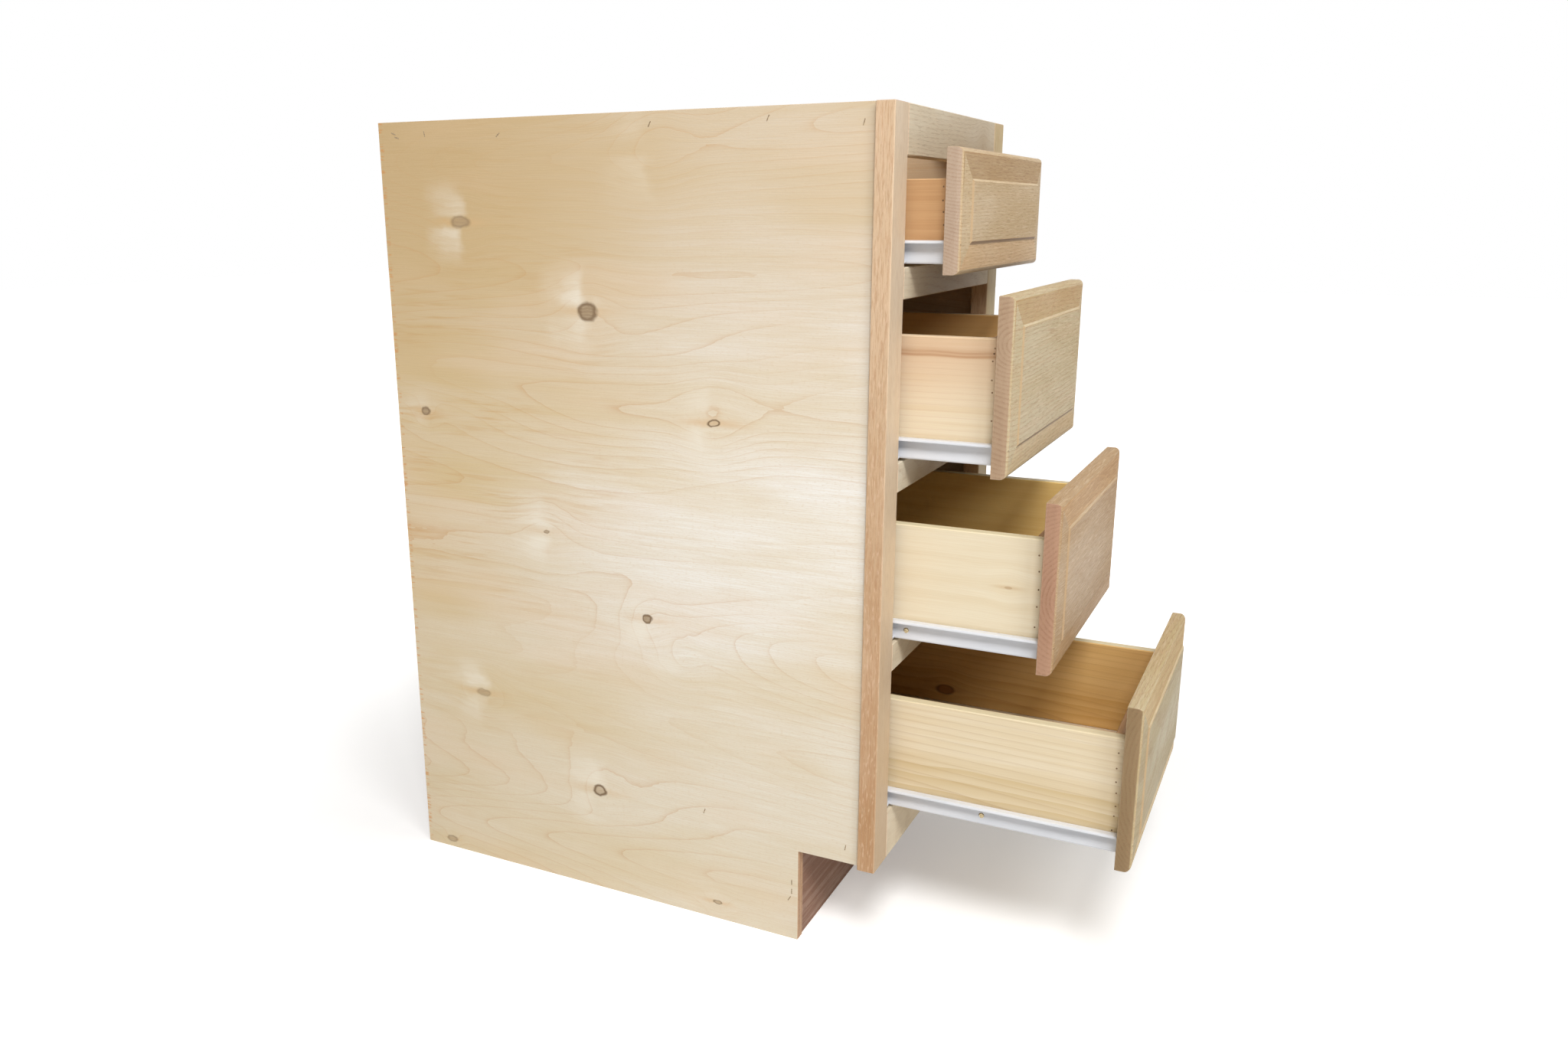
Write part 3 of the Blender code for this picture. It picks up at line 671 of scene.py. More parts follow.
def enamel_material(name, roller_y, roller_z):
    """White powder coat on folded steel, with a nylon roller about an axis along X."""
    graph = new_material(name)
    place = graph.own()
    peel = graph.noise(place, scale=1400)
    cloud = graph.stretched(place, (60, 9, 60))
    scuffs = graph.patches(place, (400, 25, 900), 0.62, 0.74, detail=3, roughness=0.65)
    paint = Coats(graph, graph.smooth(cloud, 0.35, 0.65), screen(224, 226, 231), screen(213, 216, 222))
    paint.coat(scuffs, 0.35, screen(180, 182, 184))
    # Painted highlight on the folded edges of the enamel.
    paint.wear_and_sheen(0.0005, 0.3, screen(244, 246, 248))
    beside = graph.minus(graph.part(place, "Y"), roller_y)
    above = graph.minus(graph.part(place, "Z"), roller_z)
    away = graph.math("SQRT", graph.sum_squares(beside, above))
    nylon = graph.math("LESS_THAN", away, roller_radius + 0.00015)
    aside = graph.absolute(graph.part(place, "X"))
    for clear in (graph.minus(channel_web, aside), graph.minus(aside, runner_web)):
        nylon = graph.times(nylon, graph.math("GREATER_THAN", clear, 0.0002))
    paint.lay(nylon, screen(236, 232, 220))
    roughness = graph.times_plus(nylon, 0.15, graph.smooth(cloud, 0.3, 0.7, 0.26, 0.38))
    return paint.finish(roughness, peel, 0.00004, relief=0.5, gloss=0.5)


def plated_material(name, bright, dull, roughness):
    """Plated or bare steel of small fixings, a little tarnished in patches, with a painted highlight on its edges.
    """
    graph = new_material(name)
    place = graph.own()
    cloud = graph.noise(place, scale=650, detail=3)
    brushed = graph.stretched(place, (900, 3500, 900))
    paint = Coats(graph, graph.smooth(cloud, 0.35, 0.65), bright, dull)
    # Painted highlight on the edges of the fixings.
    paint.wear_and_sheen(0.0003, 0.5, bright)
    graph.shader.inputs["Metallic"].default_value = 0.85
    roughness = graph.smooth(cloud, 0.3, 0.7, roughness, roughness + 0.2)
    return paint.finish(roughness, brushed, 0.00002, relief=0.5, gloss=0.5)


# Tones of the woods

# The deep tone is painted shade towards the panel's back end and top, and the last tone the painted shade of its
# inner face.
birch_tones = toned(
    {},
    pale=(245, 243, 238), tan=(219, 198, 155), deep=(196, 168, 124), fibre=(208, 182, 144), blush=(228, 200, 170),
    band=(206, 166, 112), low=(208, 191, 154), line=(198, 152, 104), silver=(238, 231, 216), tail=(214, 176, 128),
    core=(156, 134, 106), rim=(116, 92, 66), torn=(206, 138, 76), edge=(214, 176, 140), cross=(176, 134, 100),
    glue=(104, 70, 48), inner=(238, 222, 206),
)
# The border, low border and field factors tint faces by the way they turn: painted light and shade. The step tone
# is painted shade under the field, the lit step tone a painted highlight.
oak_tones = toned(
    {},
    pale=(222, 199, 166), tan=(212, 186, 148), early=(196, 164, 124), streak=(202, 172, 132), fleck=(230, 210, 180),
    pore=(158, 118, 82), worn=(230, 212, 184), border=(240, 222, 196), low_border=(1.2, 1.15, 1.08, 1),
    field=(1, 1, 1, 1), step=(128, 96, 66), lit_step=(246, 228, 194), side_step=(192, 162, 126),
    end=(206, 168, 140), end_dark=(178, 132, 104), end_pale=(220, 190, 164),
)
stile_tones = toned(
    oak_tones,
    pale=(228, 208, 182), tan=(222, 198, 168), early=(214, 186, 152), streak=(214, 184, 148), low=(178, 148, 110),
    edge_low=(176, 130, 84), edge_high=(214, 184, 150), edge_mottle=(228, 196, 166), edge_dark=(178, 132, 94),
)
right_stile_tones = toned(stile_tones, pale=(214, 194, 152), tan=(206, 184, 140), early=(196, 170, 124))
rail_tones = toned(
    oak_tones,
    pale=(232, 221, 198), tan=(223, 208, 181), early=(206, 186, 154), streak=(210, 190, 158), whorl=(188, 166, 134),
)
# Each front's own border, low border and field factors are painted light and shade as well.
front_tones = {
    1: toned(
        oak_tones, pale=(207, 184, 148), tan=(196, 170, 130), border=(220, 206, 186),
        low_border=(1.18, 1.08, 0.98, 1), end=(180, 156, 135), end_dark=(162, 135, 113), end_pale=(194, 172, 150),
    ),
    2: toned(
        oak_tones, pale=(204, 188, 152), tan=(195, 176, 136), end=(172, 144, 117), end_dark=(152, 122, 97),
        end_pale=(186, 161, 134),
    ),
    3: toned(
        oak_tones, pale=(184, 155, 119), tan=(174, 141, 103), border=(260, 246, 222), end=(170, 130, 104),
        end_dark=(150, 107, 84), end_pale=(184, 146, 120),
    ),
    4: toned(
        oak_tones, pale=(201, 184, 144), tan=(194, 172, 128), border=(250, 238, 214), field=(0.8, 0.84, 0.88, 1),
        end=(140, 115, 81), end_dark=(118, 93, 64), end_pale=(156, 131, 98),
    ),
}
# The inside tone is painted shade in the boxes, and the top edge tone is a painted highlight on the sides' top
# edges.
box_tones = toned(
    {},
    pale=(236, 222, 186), tan=(226, 204, 158), fibre=(212, 184, 136), line=(206, 172, 118), knot=(150, 104, 66),
    knot_rim=(110, 70, 42), end=(224, 200, 158), inside=(244, 208, 138), top_edge=(240, 226, 184),
)
box_tones_of = {
    1: toned(
        box_tones, pale=(204, 162, 117), tan=(196, 152, 107), fibre=(176, 130, 86), line=(166, 118, 72),
        top_edge=(232, 196, 148),
    ),
    2: toned(
        box_tones, pale=(230, 215, 187), tan=(225, 206, 172), fibre=(218, 188, 152), line=(188, 138, 94),
        inside=(276, 252, 196), top_edge=(242, 220, 186), streak=(166, 112, 70), top=(208, 166, 128),
    ),
    3: toned(box_tones, pale=(232, 220, 194), tan=(227, 212, 182), line=(200, 168, 120), inside=(268, 238, 164)),
    4: toned(
        box_tones, pale=(231, 217, 190), tan=(225, 208, 175), line=(178, 142, 94), inside=(248, 211, 148),
        band=(206, 182, 136),
    ),
}

# Knots of the side panels: along, up, half length, half height, reach, core, rim, above, below, tail
panel_knots = (
    (0.1057, 0.7703, 0.0120, 0.0062, 0.045, 0.70, 0.35, 0.55, 0.70, 0.9),
    (0.2661, 0.6788, 0.0110, 0.0092, 0.050, 1.00, 0.80, 0.95, 0.60, 0.5),
    (0.0401, 0.5591, 0.0055, 0.0046, 0.026, 0.90, 0.70, 0.25, 0.30, 0.5),
    (0.4149, 0.5704, 0.0062, 0.0036, 0.050, 0.15, 0.95, 0.50, 0.75, 1),
    (0.2022, 0.4324, 0.0040, 0.0018, 0.042, 0.80, 0.40, 0.90, 0.95, 0.4),
    (0.3316, 0.3468, 0.0052, 0.0048, 0.040, 1.00, 0.90, 0.45, 1.00, 0.6),
    (0.1003, 0.2206, 0.0105, 0.0045, 0.042, 0.60, 0.20, 0.90, 0.60, 0.8),
    (0.2621, 0.1264, 0.0080, 0.0062, 0.048, 0.55, 0.95, 0.80, 0.50, 0.5),
    (0.0367, 0.0104, 0.0075, 0.0040, 0.020, 0.65, 0.40, 0.15, 0.00, 0.8),
    (0.4152, 0.0203, 0.0045, 0.0026, 0.026, 0.60, 0.60, 0.10, 0.00, 1),
    (0.3480, 0.8420, 0.0010, 0.0010, 0.060, 0.00, 0.00, 0.20, 0.30, 0),
    (0.3700, 0.3120, 0.0010, 0.0010, 0.040, 0.00, 0.00, 0.20, 0.40, 0),
)
far_knots = (
    (0.1410, 0.6350, 0.0090, 0.0070, 0.045, 0.90, 0.70, 0.90, 0.60, 0.6),
    (0.4020, 0.7150, 0.0060, 0.0045, 0.036, 0.80, 0.60, 0.50, 0.80, 0.7),
    (0.3050, 0.4420, 0.0100, 0.0060, 0.048, 0.75, 0.45, 0.70, 0.90, 0.8),
    (0.0820, 0.3340, 0.0050, 0.0040, 0.034, 0.85, 0.70, 0.40, 0.70, 0.6),
    (0.4480, 0.2650, 0.0080, 0.0066, 0.044, 0.60, 0.90, 0.80, 0.30, 0.5),
    (0.2150, 0.1350, 0.0060, 0.0035, 0.040, 0.70, 0.50, 0.60, 0.80, 0.8),
)
# Knots of the box sides: along, up, half length, half height, reach, core, rim, tail, side
box_knots_of = {
    1: (),
    2: (),
    3: ((-0.716, 0.422, 0.004, 0.0015, 0.02, 0.35, 0, 0.8, -1),),
    4: ((-0.581, 0.196, 0.011, 0.006, 0.030, 0.8, 0.6, 0.7, 1),),
}

# The heart of each board's rings, and how far apart the rings lie
rail_hearts = {
    "top_rail": ((0.1, 0.90, -0.62), 0.004),
    "upper_drawer_rail": ((0, 0.66, -0.59), 0.003),
    "middle_drawer_rail": ((0, 0.49, -0.62), 0.0035),
    "lower_drawer_rail": ((0, 0.38, -0.64), 0.003),
    "bottom_rail": ((0.1, 0.10, -0.57), 0.004),
}
top_rail_whorl = (0.105, 0.846, 0.03)
front_hearts = {1: (0.1, 1.10, -0.72), 2: (-0.1, 0.66, -0.63), 3: (0.1, 0.42, -0.67), 4: (0, 0.26, -0.78)}
front_spacing = {1: 0.0030, 2: 0.0042, 3: 0.0042, 4: 0.0042}
box_hearts = {1: (0, 0.95, 0.10), 2: (0, 0.72, 0.155), 3: (0, 0.475, 0.19), 4: (0, 0.165, 0.19)}
box_spacing = {1: 0.009, 2: 0.006, 3: 0.009, 4: 0.0058}
box_leans = {1: 0.01, 2: 0.01, 3: 0.01, 4: 0.03}
box_lines = {1: 0.15, 2: 0.22, 3: 0.2, 4: 0.4}
box_marks = {1: {}, 2: {"top": (box_tops[2], 0.09)}, 3: {}, 4: {"low": (0.235, 0.0135)}}


# Materials on the boards of the part


def dress(material, *names):
    """Gives CAD nodes their material."""
    for name in names:
        for slot in nodes[name].material_slots:
            slot.material = material


corner_blocks = [f"{side}_{end}_corner_block" for side in ("left", "right") for end in ("front", "rear")]
panel_sheet = (-side_face, -side_face + board_thickness, 7)
# How deep the panels' inner face lies, where painted shade is laid.
panel_inner = (-side_face + 0.0115, -side_face + 0.0120)
for side, knots, turn, shift in (
    ("left", panel_knots, (-1, 1, 1), (0, 0, 3)),
    ("right", far_knots, (-1, 1, -1), (4, 2, 1)),
):
    panel_birch = birch_material(
        f"birch {side} panel", knots, birch_tones, turn=turn, shift=shift, sheet=panel_sheet, tear=True,
        inner=panel_inner,
    )
    dress(panel_birch, f"{side}_side_panel")
for name, shift, top, boards in (
    ("floor", (2, 5, 0), floor_top, ["cabinet_floor"]),
    ("blocks", (7, 1, 0), block_top, corner_blocks),
):
    sheet_birch = birch_material(
        f"birch {name}", (), birch_tones, axes="XYZ", shift=shift, face_axis="Z",
        sheet=(top - board_thickness, top, 7),
    )
    dress(sheet_birch, *boards)
dress(hardboard_material(), "back_panel")
dress(toe_board_material(), "toe_kick_board")
for side, tones, heart, spacing, lean in (
    ("left", stile_tones, (0, -0.64, -0.24), 0.0024, 0.01),
    ("right", right_stile_tones, (0.2, -0.66, 0.22), 0.003, 0.01),
):
    stile_oak = oak_material(
        f"oak {side} stile", tones, "ZYX", "Z", heart, spacing=spacing, lean=lean, strength=0.45, edge=True
    )
    dress(stile_oak, f"{side}_stile")
for number, (name, (heart, spacing)) in enumerate(rail_hearts.items()):
    rail_oak = oak_material(
        f"oak {name}".replace("_", " "), rail_tones, "XZY", "X", heart, spacing=spacing, lean=0.06,
        shift=(number * 1.7, 0, 0), strength=0.35, wave=0.045,
        whorl=top_rail_whorl if name == "top_rail" else None,
    )
    dress(rail_oak, name)
dress(box_wood_material("hanging rail wood", box_tones, "XZY", "X", (0, 0.95, -0.05)), "hanging_rail")
dress(
    box_wood_material("rear post wood", box_tones, "ZYX", "Z", (0, -0.12, 0)), "left_rear_post", "right_rear_post"
)

front_oaks = {}
for number, bottom in opening_bottoms.items():
    low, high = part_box(f"drawer_{number}_front")
    front_oaks[number] = oak_material(
        f"oak front {number}", front_tones[number], "XZY", "X", front_hearts[number], spacing=front_spacing[number],
        lean=0.05, shift=(number * 0.9, 0, 0), strength=0.68, wave=0.03, step=(low[2], high[2]),
    )
    side_wood = box_wood_material(
        f"box {number} side wood", box_tones_of[number], "YZX", "Y", box_hearts[number],
        spacing=box_spacing[number], lean=box_leans[number], knots=box_knots_of[number], wave=0.014,
        line=box_lines[number], inside=True, **box_marks[number],
    )
    dress(side_wood, f"drawer_{number}_left_side", f"drawer_{number}_right_side")
    end_wood = box_wood_material(
        f"box {number} end wood", box_tones_of[1], "XZY", "X", (0.3, box_tops[number] + 0.1, -0.5),
        spacing=0.009, shift=(number * 1.3, 0, 0),
    )
    dress(end_wood, f"drawer_{number}_box_front", f"drawer_{number}_box_back")
    base_wood = birch_material(
        f"box {number} bottom ply", (), birch_tones, axes="XYZ", shift=(number * 2.3, number * 1.1, 0),
        face_axis="Z",
    )
    dress(base_wood, f"drawer_{number}_bottom")
    rest_front = front_plane - pulls[number]
    channel_enamel = enamel_material(
        f"enamel channel {number}", front_plane + channel_roller_setback, bottom + channel_roller_height
    )
    slide_enamel = enamel_material(
        f"enamel slide {number}", rest_front + box_depth - slide_roller_setback, bottom + slide_roller_height
    )
    for side in ("left", "right"):
        dress(channel_enamel, f"{side}_cabinet_runner_{number}")
        dress(slide_enamel, f"drawer_{number}_{side}_runner")


def round_corners(board, width, angle):
    """Takes the corners sharper than an angle off a board with a modifier."""
    rounding = board.modifiers.new("eased corners", "BEVEL")
    rounding.width = width
    rounding.segments = 2
    rounding.limit_method = "ANGLE"
    rounding.angle_limit = math.radians(angle)
    rounding.use_clamp_overlap = True


def ease(names, width, angle):
    """Joins the faces of CAD boards and takes their sharp corners off."""
    for name in names:
        weld = nodes[name].modifiers.new("joined faces", "WELD")
        weld.merge_threshold = 0.000002
        round_corners(nodes[name], width, angle)


eased_boards = [
    "left_side_panel", "right_side_panel", "cabinet_floor", "toe_kick_board", "hanging_rail", "left_stile",
    "right_stile", "left_rear_post", "right_rear_post", *rail_hearts, *corner_blocks,
]
for number in opening_bottoms:
    eased_boards += [f"drawer_{number}_{board}" for board in ("left_side", "right_side", "box_front", "box_back")]
ease(eased_boards, board_easing, 50)


# Modelling steps


def edit_only(piece):
    """Makes the piece the one selected and active object, in edit mode."""
    bpy.ops.object.select_all(action="DESELECT")
    piece.select_set(True)
    bpy.context.view_layer.objects.active = piece
    bpy.ops.object.mode_set(mode="EDIT")


def start_model(add, **settings):
    """Adds a primitive, takes its place and size into its mesh and opens it for editing."""
    bpy.ops.object.select_all(action="DESELECT")
    add(**settings)
    piece = bpy.context.object
    bpy.ops.object.transform_apply(location=True, rotation=True, scale=True)
    edit_only(piece)
    return piece


def pick(piece, kind, wanted):
    """Picks the faces or edges of the piece for which wanted(element) holds."""
    bpy.ops.mesh.select_mode(type=kind)
    bpy.ops.mesh.select_all(action="DESELECT")
    shape = bmesh.from_edit_mesh(piece.data)
    for element in shape.faces if kind == "FACE" else shape.edges:
        element.select_set(wanted(element))
    bmesh.update_edit_mesh(piece.data)


def pick_faces(piece, wanted):
    """Picks the faces for which wanted(middle, normal) holds."""
    pick(piece, "FACE", lambda face: wanted(face.calc_center_median(), face.normal))


def pick_edges(piece, wanted):
    """Picks the edges for which wanted(first end, second end) holds."""
    pick(piece, "EDGE", lambda edge: wanted(edge.verts[0].co, edge.verts[1].co))


def round_picked(width, segments):
    bpy.ops.mesh.bevel(offset=width, offset_type="OFFSET", segments=segments, profile=0.5, affect="EDGES")


def extrude_down(length):
    bpy.ops.mesh.extrude_region_move(TRANSFORM_OT_translate={"value": (0, 0, -length)})


def inset_forward(width, rise):
    """Insets the picked faces and moves them forward, or back for a negative rise."""
    bpy.ops.mesh.inset(thickness=width)
    bpy.ops.transform.translate(value=(0, -rise, 0))


def finish_model(piece, angle=40):
    bpy.ops.object.mode_set(mode="OBJECT")
    bpy.ops.object.shade_smooth_by_angle(angle=math.radians(angle))
    return piece


# Drawer fronts


def model_front(number):
    """A drawer front, rounded over at its front edges, with a raised field in a border that slopes down to them."""
    low, high = (Vector(corner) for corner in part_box(f"drawer_{number}_front"))
    flat = low.y + border_fall + field_rise
    low.y = flat
    board = start_model(bpy.ops.mesh.primitive_cube_add, size=1, location=(low + high) / 2, scale=high - low)
    pick_edges(board, lambda first, second: max(first.y, second.y) < flat + hairline)
    round_picked(front_round, 8)
    pick_faces(board, lambda middle, normal: normal.y < -0.999)
    inset_forward(front_border - front_round, border_fall)
    inset_forward(field_slope_run, field_rise)
    finish_model(board, 25)
    edit_only(board)
    pick_faces(board, lambda middle, normal: normal.y < -0.5 and middle.y < flat + hairline)
    bpy.ops.mesh.faces_shade_flat()
    bpy.ops.object.mode_set(mode="OBJECT")
    return board


for number, front_oak in front_oaks.items():
    board = model_front(number)
    board.name = f"drawer_{number}_front_board"
    board.data.name = board.name
    board.data.materials.append(front_oak)
    round_corners(board, front_easing, 25)
    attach(board, f"drawer_{number}")
    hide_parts(f"drawer_{number}_front")


# Small fittings


def model_cross(width, arm, top, depth):
    """A cross-shaped cutter for a driver recess."""
    cutter = start_model(
        bpy.ops.mesh.primitive_cube_add, size=1, location=(0, 0, top), scale=(width, width, 2 * depth)
    )
    pick_faces(cutter, lambda middle, normal: abs(normal.z) < 0.5)
    bpy.ops.mesh.extrude_faces_move(TRANSFORM_OT_shrink_fatten={"value": arm})
    bpy.ops.object.mode_set(mode="OBJECT")
    return cutter


def model_screw(head_radius, head_height, dome, shank_radius, shank_length):
    """A cross-recessed screw with its head up along Z from the origin and its shank below."""
    screw = start_model(
        bpy.ops.mesh.primitive_cylinder_add,
        vertices=24, radius=head_radius, depth=head_height, location=(0, 0, head_height / 2),
    )
    rim = head_height - hairline
    pick_edges(screw, lambda first, second: first.z > rim and second.z > rim)
    round_picked(dome, 4)
    pick_faces(screw, lambda middle, normal: normal.z < -0.9)
    bpy.ops.mesh.inset(thickness=head_radius - shank_radius)
    extrude_down(0.7 * shank_length)
    extrude_down(0.3 * shank_length)
    bpy.ops.transform.resize(value=(0.2, 0.2, 1))
    bpy.ops.object.mode_set(mode="OBJECT")
    cutter = model_cross(head_radius * 0.2, head_radius * 0.36, head_height, head_height * 0.5)
    edit_only(screw)
    bpy.ops.object.mode_set(mode="OBJECT")
    recess = screw.modifiers.new("driver recess", "BOOLEAN")
    recess.operation = "DIFFERENCE"
    recess.object = cutter
    bpy.ops.object.modifier_apply(modifier=recess.name)
    bpy.data.objects.remove(cutter)
    return finish_model(screw)


def model_pin(radius, height):
    """A finishing nail's head with a small dimple, up along Z from the origin."""
    pin = start_model(
        bpy.ops.mesh.primitive_cylinder_add, vertices=10, radius=radius, depth=height, location=(0, 0, height / 2)
    )
    pick_faces(pin, lambda middle, normal: normal.z > 0.9)
    bpy.ops.mesh.inset(thickness=radius * 0.35)
    extrude_down(height * 0.5)
    bpy.ops.transform.resize(value=(0.5, 0.5, 1))
    pick_faces(pin, lambda middle, normal: normal.z < -0.9)
    extrude_down(height * 3)
    return finish_model(pin)


def model_staple(length, wire, leg):
    """A driven staple: its crown along X, standing a little proud of Z = 0, and its two legs below."""
    staple = start_model(
        bpy.ops.mesh.primitive_cube_add, size=1, location=(0, 0, 0), scale=(length - 2 * wire, wire, wire * 0.5)
    )
    pick_faces(staple, lambda middle, normal: abs(normal.x) > 0.9)
    bpy.ops.mesh.extrude_faces_move(TRANSFORM_OT_shrink_fatten={"value": wire})
    ends = length / 2 - wire * 0.9
    pick_faces(staple, lambda middle, normal: normal.z < -0.9 and abs(middle.x) > ends)
    extrude_down(leg)
    pick_edges(staple, lambda first, second: first.z > 0 and second.z > 0)
    round_picked(wire * 0.2, 2)
    return finish_model(staple)


def set_out(model, name, body, places, material):
    """Copies a fitting to places, each (point, outward direction, spin in degrees), as one piece on a body."""
    copies = []
    for point, outward, spin in places:
        made = bpy.data.objects.new(name, model.data.copy())
        bpy.context.scene.collection.objects.link(made)
        turn = Vector(outward).to_track_quat("Z", "Y").to_matrix().to_4x4()
        made.matrix_world = Matrix.Translation(point) @ turn @ Matrix.Rotation(math.radians(spin), 4, "Z")
        copies.append(made)
    bpy.context.view_layer.update()
    bpy.ops.object.select_all(action="DESELECT")
    for made in copies:
        made.select_set(True)
    bpy.context.view_layer.objects.active = copies[0]
    bpy.ops.object.join()
    bpy.ops.object.transform_apply(location=True, rotation=True, scale=True)
    piece = bpy.context.object
    piece.name = name
    piece.data.name = name
    piece.data.materials.clear()
    piece.data.materials.append(material)
    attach(piece, body)


brass_plate = plated_material("yellow plated screws", screen(232, 220, 188), screen(200, 180, 138), 0.45)
zinc_plate = plated_material("zinc plated screws", screen(200, 202, 204), screen(140, 142, 144), 0.3)
dark_steel = plated_material("driven steel", screen(158, 130, 102), screen(104, 82, 60), 0.6)
dull_wire = plated_material("staple wire", screen(176, 158, 132), screen(138, 120, 96), 0.5)

flat_screw = model_screw(0.0026, 0.0013, 0.0005, 0.0014, 0.010)
pan_screw = model_screw(0.0033, 0.0019, 0.0012, 0.0018, 0.010)
washer_screw = model_screw(0.0056, 0.0024, 0.0012, 0.0020, 0.012)
box_pin = model_pin(0.00085, 0.0002)
panel_staple = model_staple(0.0062, 0.0011, 0.004)

pin_heights = {
    1: (0.8020, 0.7895, 0.7790, 0.7672),
    2: (0.6545, 0.6495, 0.6423, 0.6243, 0.6126, 0.5855),
    3: (0.4584, 0.4423, 0.4240, 0.4065, 0.3855),
    4: (0.2695, 0.2531, 0.2387, 0.2270, 0.2130, 0.2022, 0.1867),
}
left, right = (-1, 0, 0), (1, 0, 0)
channel_screws = []
for number, bottom in opening_bottoms.items():
    height = bottom + screw_height
    rest_front = front_plane - pulls[number]
    slide_screws = []
    pins = []
    for side, outward, inward in ((-1, left, right), (1, right, left)):
        for share, spin in zip(drawer_screw_shares, (20, 65, 40)):
            point = (side * runner_face, rest_front + share * box_depth, height)
            slide_screws.append((point, outward, spin + 11 * number))
        for setback, spin in ((front_screw_setback, 30), (rear_screw_setback, 75)):
            point = (side * channel_web, front_plane + setback, height)
            channel_screws.append((point, inward, spin + 17 * number))
        for order, place in enumerate(pin_heights[number]):
            wander = 0.0009 * math.sin(5.1 * order + 2.3 * number)
            for setback in (front_pin_setback + wander, box_depth - rear_pin_setback - wander):
                pins.append(((side * box_half_width, rest_front + setback, place), outward, 0))
    set_out(flat_screw, f"drawer_{number}_runner_screws", f"drawer_{number}", slide_screws, brass_plate)
    set_out(box_pin, f"drawer_{number}_box_pins", f"drawer_{number}", pins, dark_steel)
    inner_face = rest_front + board_thickness
    middle = (opening_bottoms[number] + box_tops[number]) / 2 + 0.004
    front_screws = [((x, inner_face, middle), (0, 1, 0), spin) for x, spin in ((-0.08, 25), (0.08, 60))]
    set_out(washer_screw, f"drawer_{number}_front_screws", f"drawer_{number}", front_screws, zinc_plate)
set_out(pan_screw, "cabinet_runner_screws", "carcass", channel_screws, zinc_plate)

staple_marks = (
    (-0.0212, 0.8643, 160), (-0.0252, 0.8601, 165), (-0.0639, 0.8630, 100), (-0.1617, 0.8594, 40),
    (-0.3459, 0.8641, 62), (-0.4750, 0.8654, 66), (-0.5716, 0.8587, 74),
    (-0.5685, 0.1260, 80), (-0.3996, 0.1308, 70),
    (-0.5069, 0.0692, 90), (-0.5070, 0.0580, 90), (-0.5043, 0.0488, 60),
)
panel_staples = []
for y, z, spin in staple_marks:
    panel_staples.append(((-side_face, y, z), left, spin))
    panel_staples.append(((side_face, y, z), right, spin))
for x in (-0.150, 0.150):
    for y in (-0.025, -0.060, -0.530, -0.565):
        panel_staples.append(((x + 0.006, y, block_top), (0, 0, 1), 30))
set_out(panel_staple, "panel_staples", "carcass", panel_staples, dull_wire)

for model in (flat_screw, pan_screw, washer_screw, box_pin, panel_staple):
    bpy.data.objects.remove(model)


# Floor, light and camera

shadow_reach, white_reach, near_glow = 0.5, 1.5, 0.3
glow_tint, glow_power = (1, 0.94, 0.84, 1), 0.2
camera_place = (-1.2961, -0.98735, 0.7791)
camera_yaw, camera_pitch, camera_roll = 63.594, 14.791, -0.22
lens, sensor_width = 28.28, 36
shift_right, shift_up = 0.0333, 0.01055


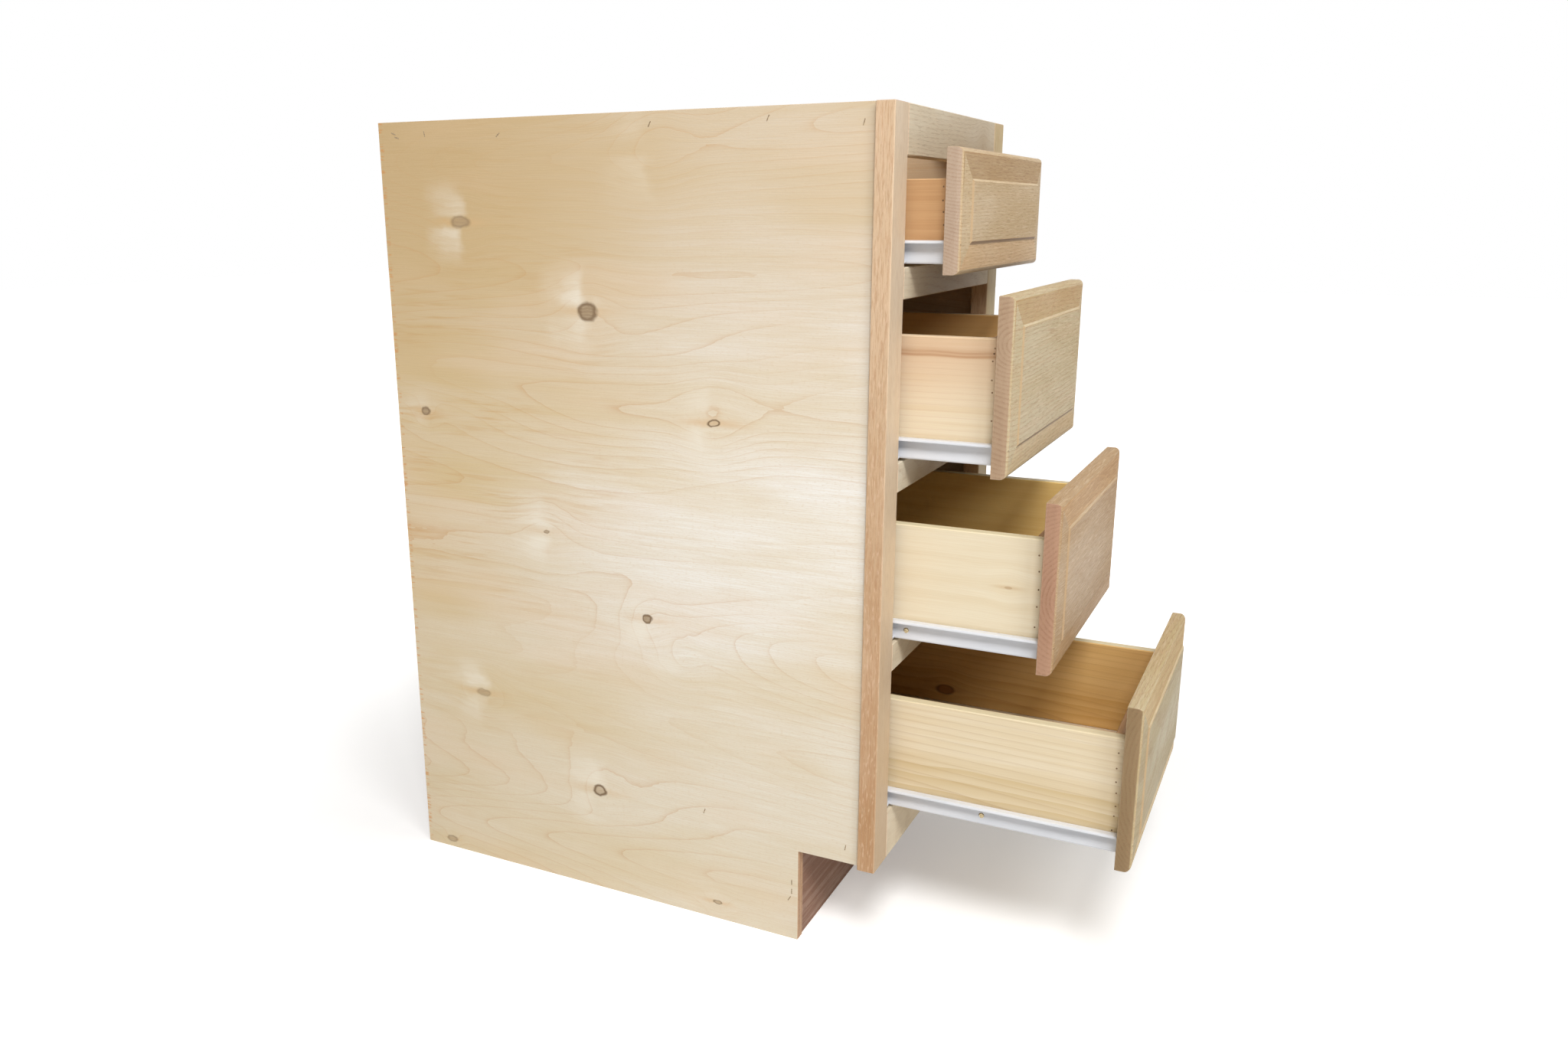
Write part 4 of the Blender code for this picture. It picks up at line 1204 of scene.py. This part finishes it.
def model_floor():
    """A pale matt floor that keeps the shadow near the cabinet and shows white farther out."""
    bpy.ops.object.select_all(action="DESELECT")
    bpy.ops.mesh.primitive_plane_add(size=24, location=(0, 0, 0))
    floor = bpy.context.object
    floor.name = "studio_floor"
    graph = new_material("studio floor paint")
    shader = graph.shader
    place = graph.own()
    speckle = graph.noise(place, scale=30, detail=3)
    graph.feed(shader.inputs["Base Color"], graph.mix(speckle, (0.9, 0.9, 0.9, 1), (0.94, 0.94, 0.94, 1)))
    shader.inputs["Roughness"].default_value = 0.9
    shader.inputs["Specular IOR Level"].default_value = 0.1
    away = graph.vector("LENGTH", graph.vector("ADD", place, (0, 0.45, 0)))
    glow = graph.times(graph.smooth(away, shadow_reach, white_reach, near_glow, 1), graph.shown_directly())
    white = graph.node("ShaderNodeEmission", {"Strength": glow})
    total = graph.node("ShaderNodeAddShader", {0: shader.outputs[0], 1: white.outputs[0]})
    output = next(node for node in graph.tree.nodes if node.type == "OUTPUT_MATERIAL")
    graph.feed(output.inputs["Surface"], total.outputs[0])
    floor.data.materials.append(graph.material)


def add_lamp(name, place, target, size, power):
    data = bpy.data.lights.new(name, "AREA")
    data.shape = "DISK"
    data.size = size
    data.energy = power
    lamp = bpy.data.objects.new(name, data)
    bpy.context.scene.collection.objects.link(lamp)
    lamp.location = place
    lamp.rotation_euler = (Vector(target) - Vector(place)).to_track_quat("-Z", "Y").to_euler()


def light_studio():
    """A weak warm glow all round, seen as white, and two soft lamps at the left and the front."""
    world = bpy.data.worlds.new("studio")
    bpy.context.scene.world = world
    world.use_nodes = True
    world.node_tree.nodes.clear()
    graph = Graph(world.node_tree)
    soft = graph.node("ShaderNodeBackground", {"Color": glow_tint, "Strength": glow_power})
    white = graph.node("ShaderNodeBackground", {"Color": (1, 1, 1, 1), "Strength": 1})
    inputs = {0: graph.shown_directly(), 1: soft.outputs[0], 2: white.outputs[0]}
    blend = graph.node("ShaderNodeMixShader", inputs)
    graph.node("ShaderNodeOutputWorld", {"Surface": blend.outputs[0]})
    add_lamp("key lamp", (-2.8, -1.8, 3.83), (-0.1, -0.6, 0.45), 1.4, 140)
    add_lamp("front fill", (-2, -3.3, 3.1), (0, -0.6, 0.45), 1.6, 54)


def add_camera():
    data = bpy.data.cameras.new("photo camera")
    data.sensor_width = sensor_width
    data.lens = lens
    data.shift_x = shift_right
    data.shift_y = shift_up
    data.clip_start = 0.01
    data.clip_end = 100
    camera = bpy.data.objects.new("photo camera", data)
    bpy.context.scene.collection.objects.link(camera)
    yaw, pitch, roll = map(math.radians, (camera_yaw, camera_pitch, camera_roll))
    turn = Matrix.Rotation(-yaw, 4, "Z") @ Matrix.Rotation(math.radians(90) - pitch, 4, "X")
    turn = turn @ Matrix.Rotation(roll, 4, "Z")
    camera.matrix_world = Matrix.Translation(camera_place) @ turn
    bpy.context.scene.camera = camera


model_floor()
light_studio()
add_camera()
bpy.context.scene.view_settings.view_transform = "Standard"
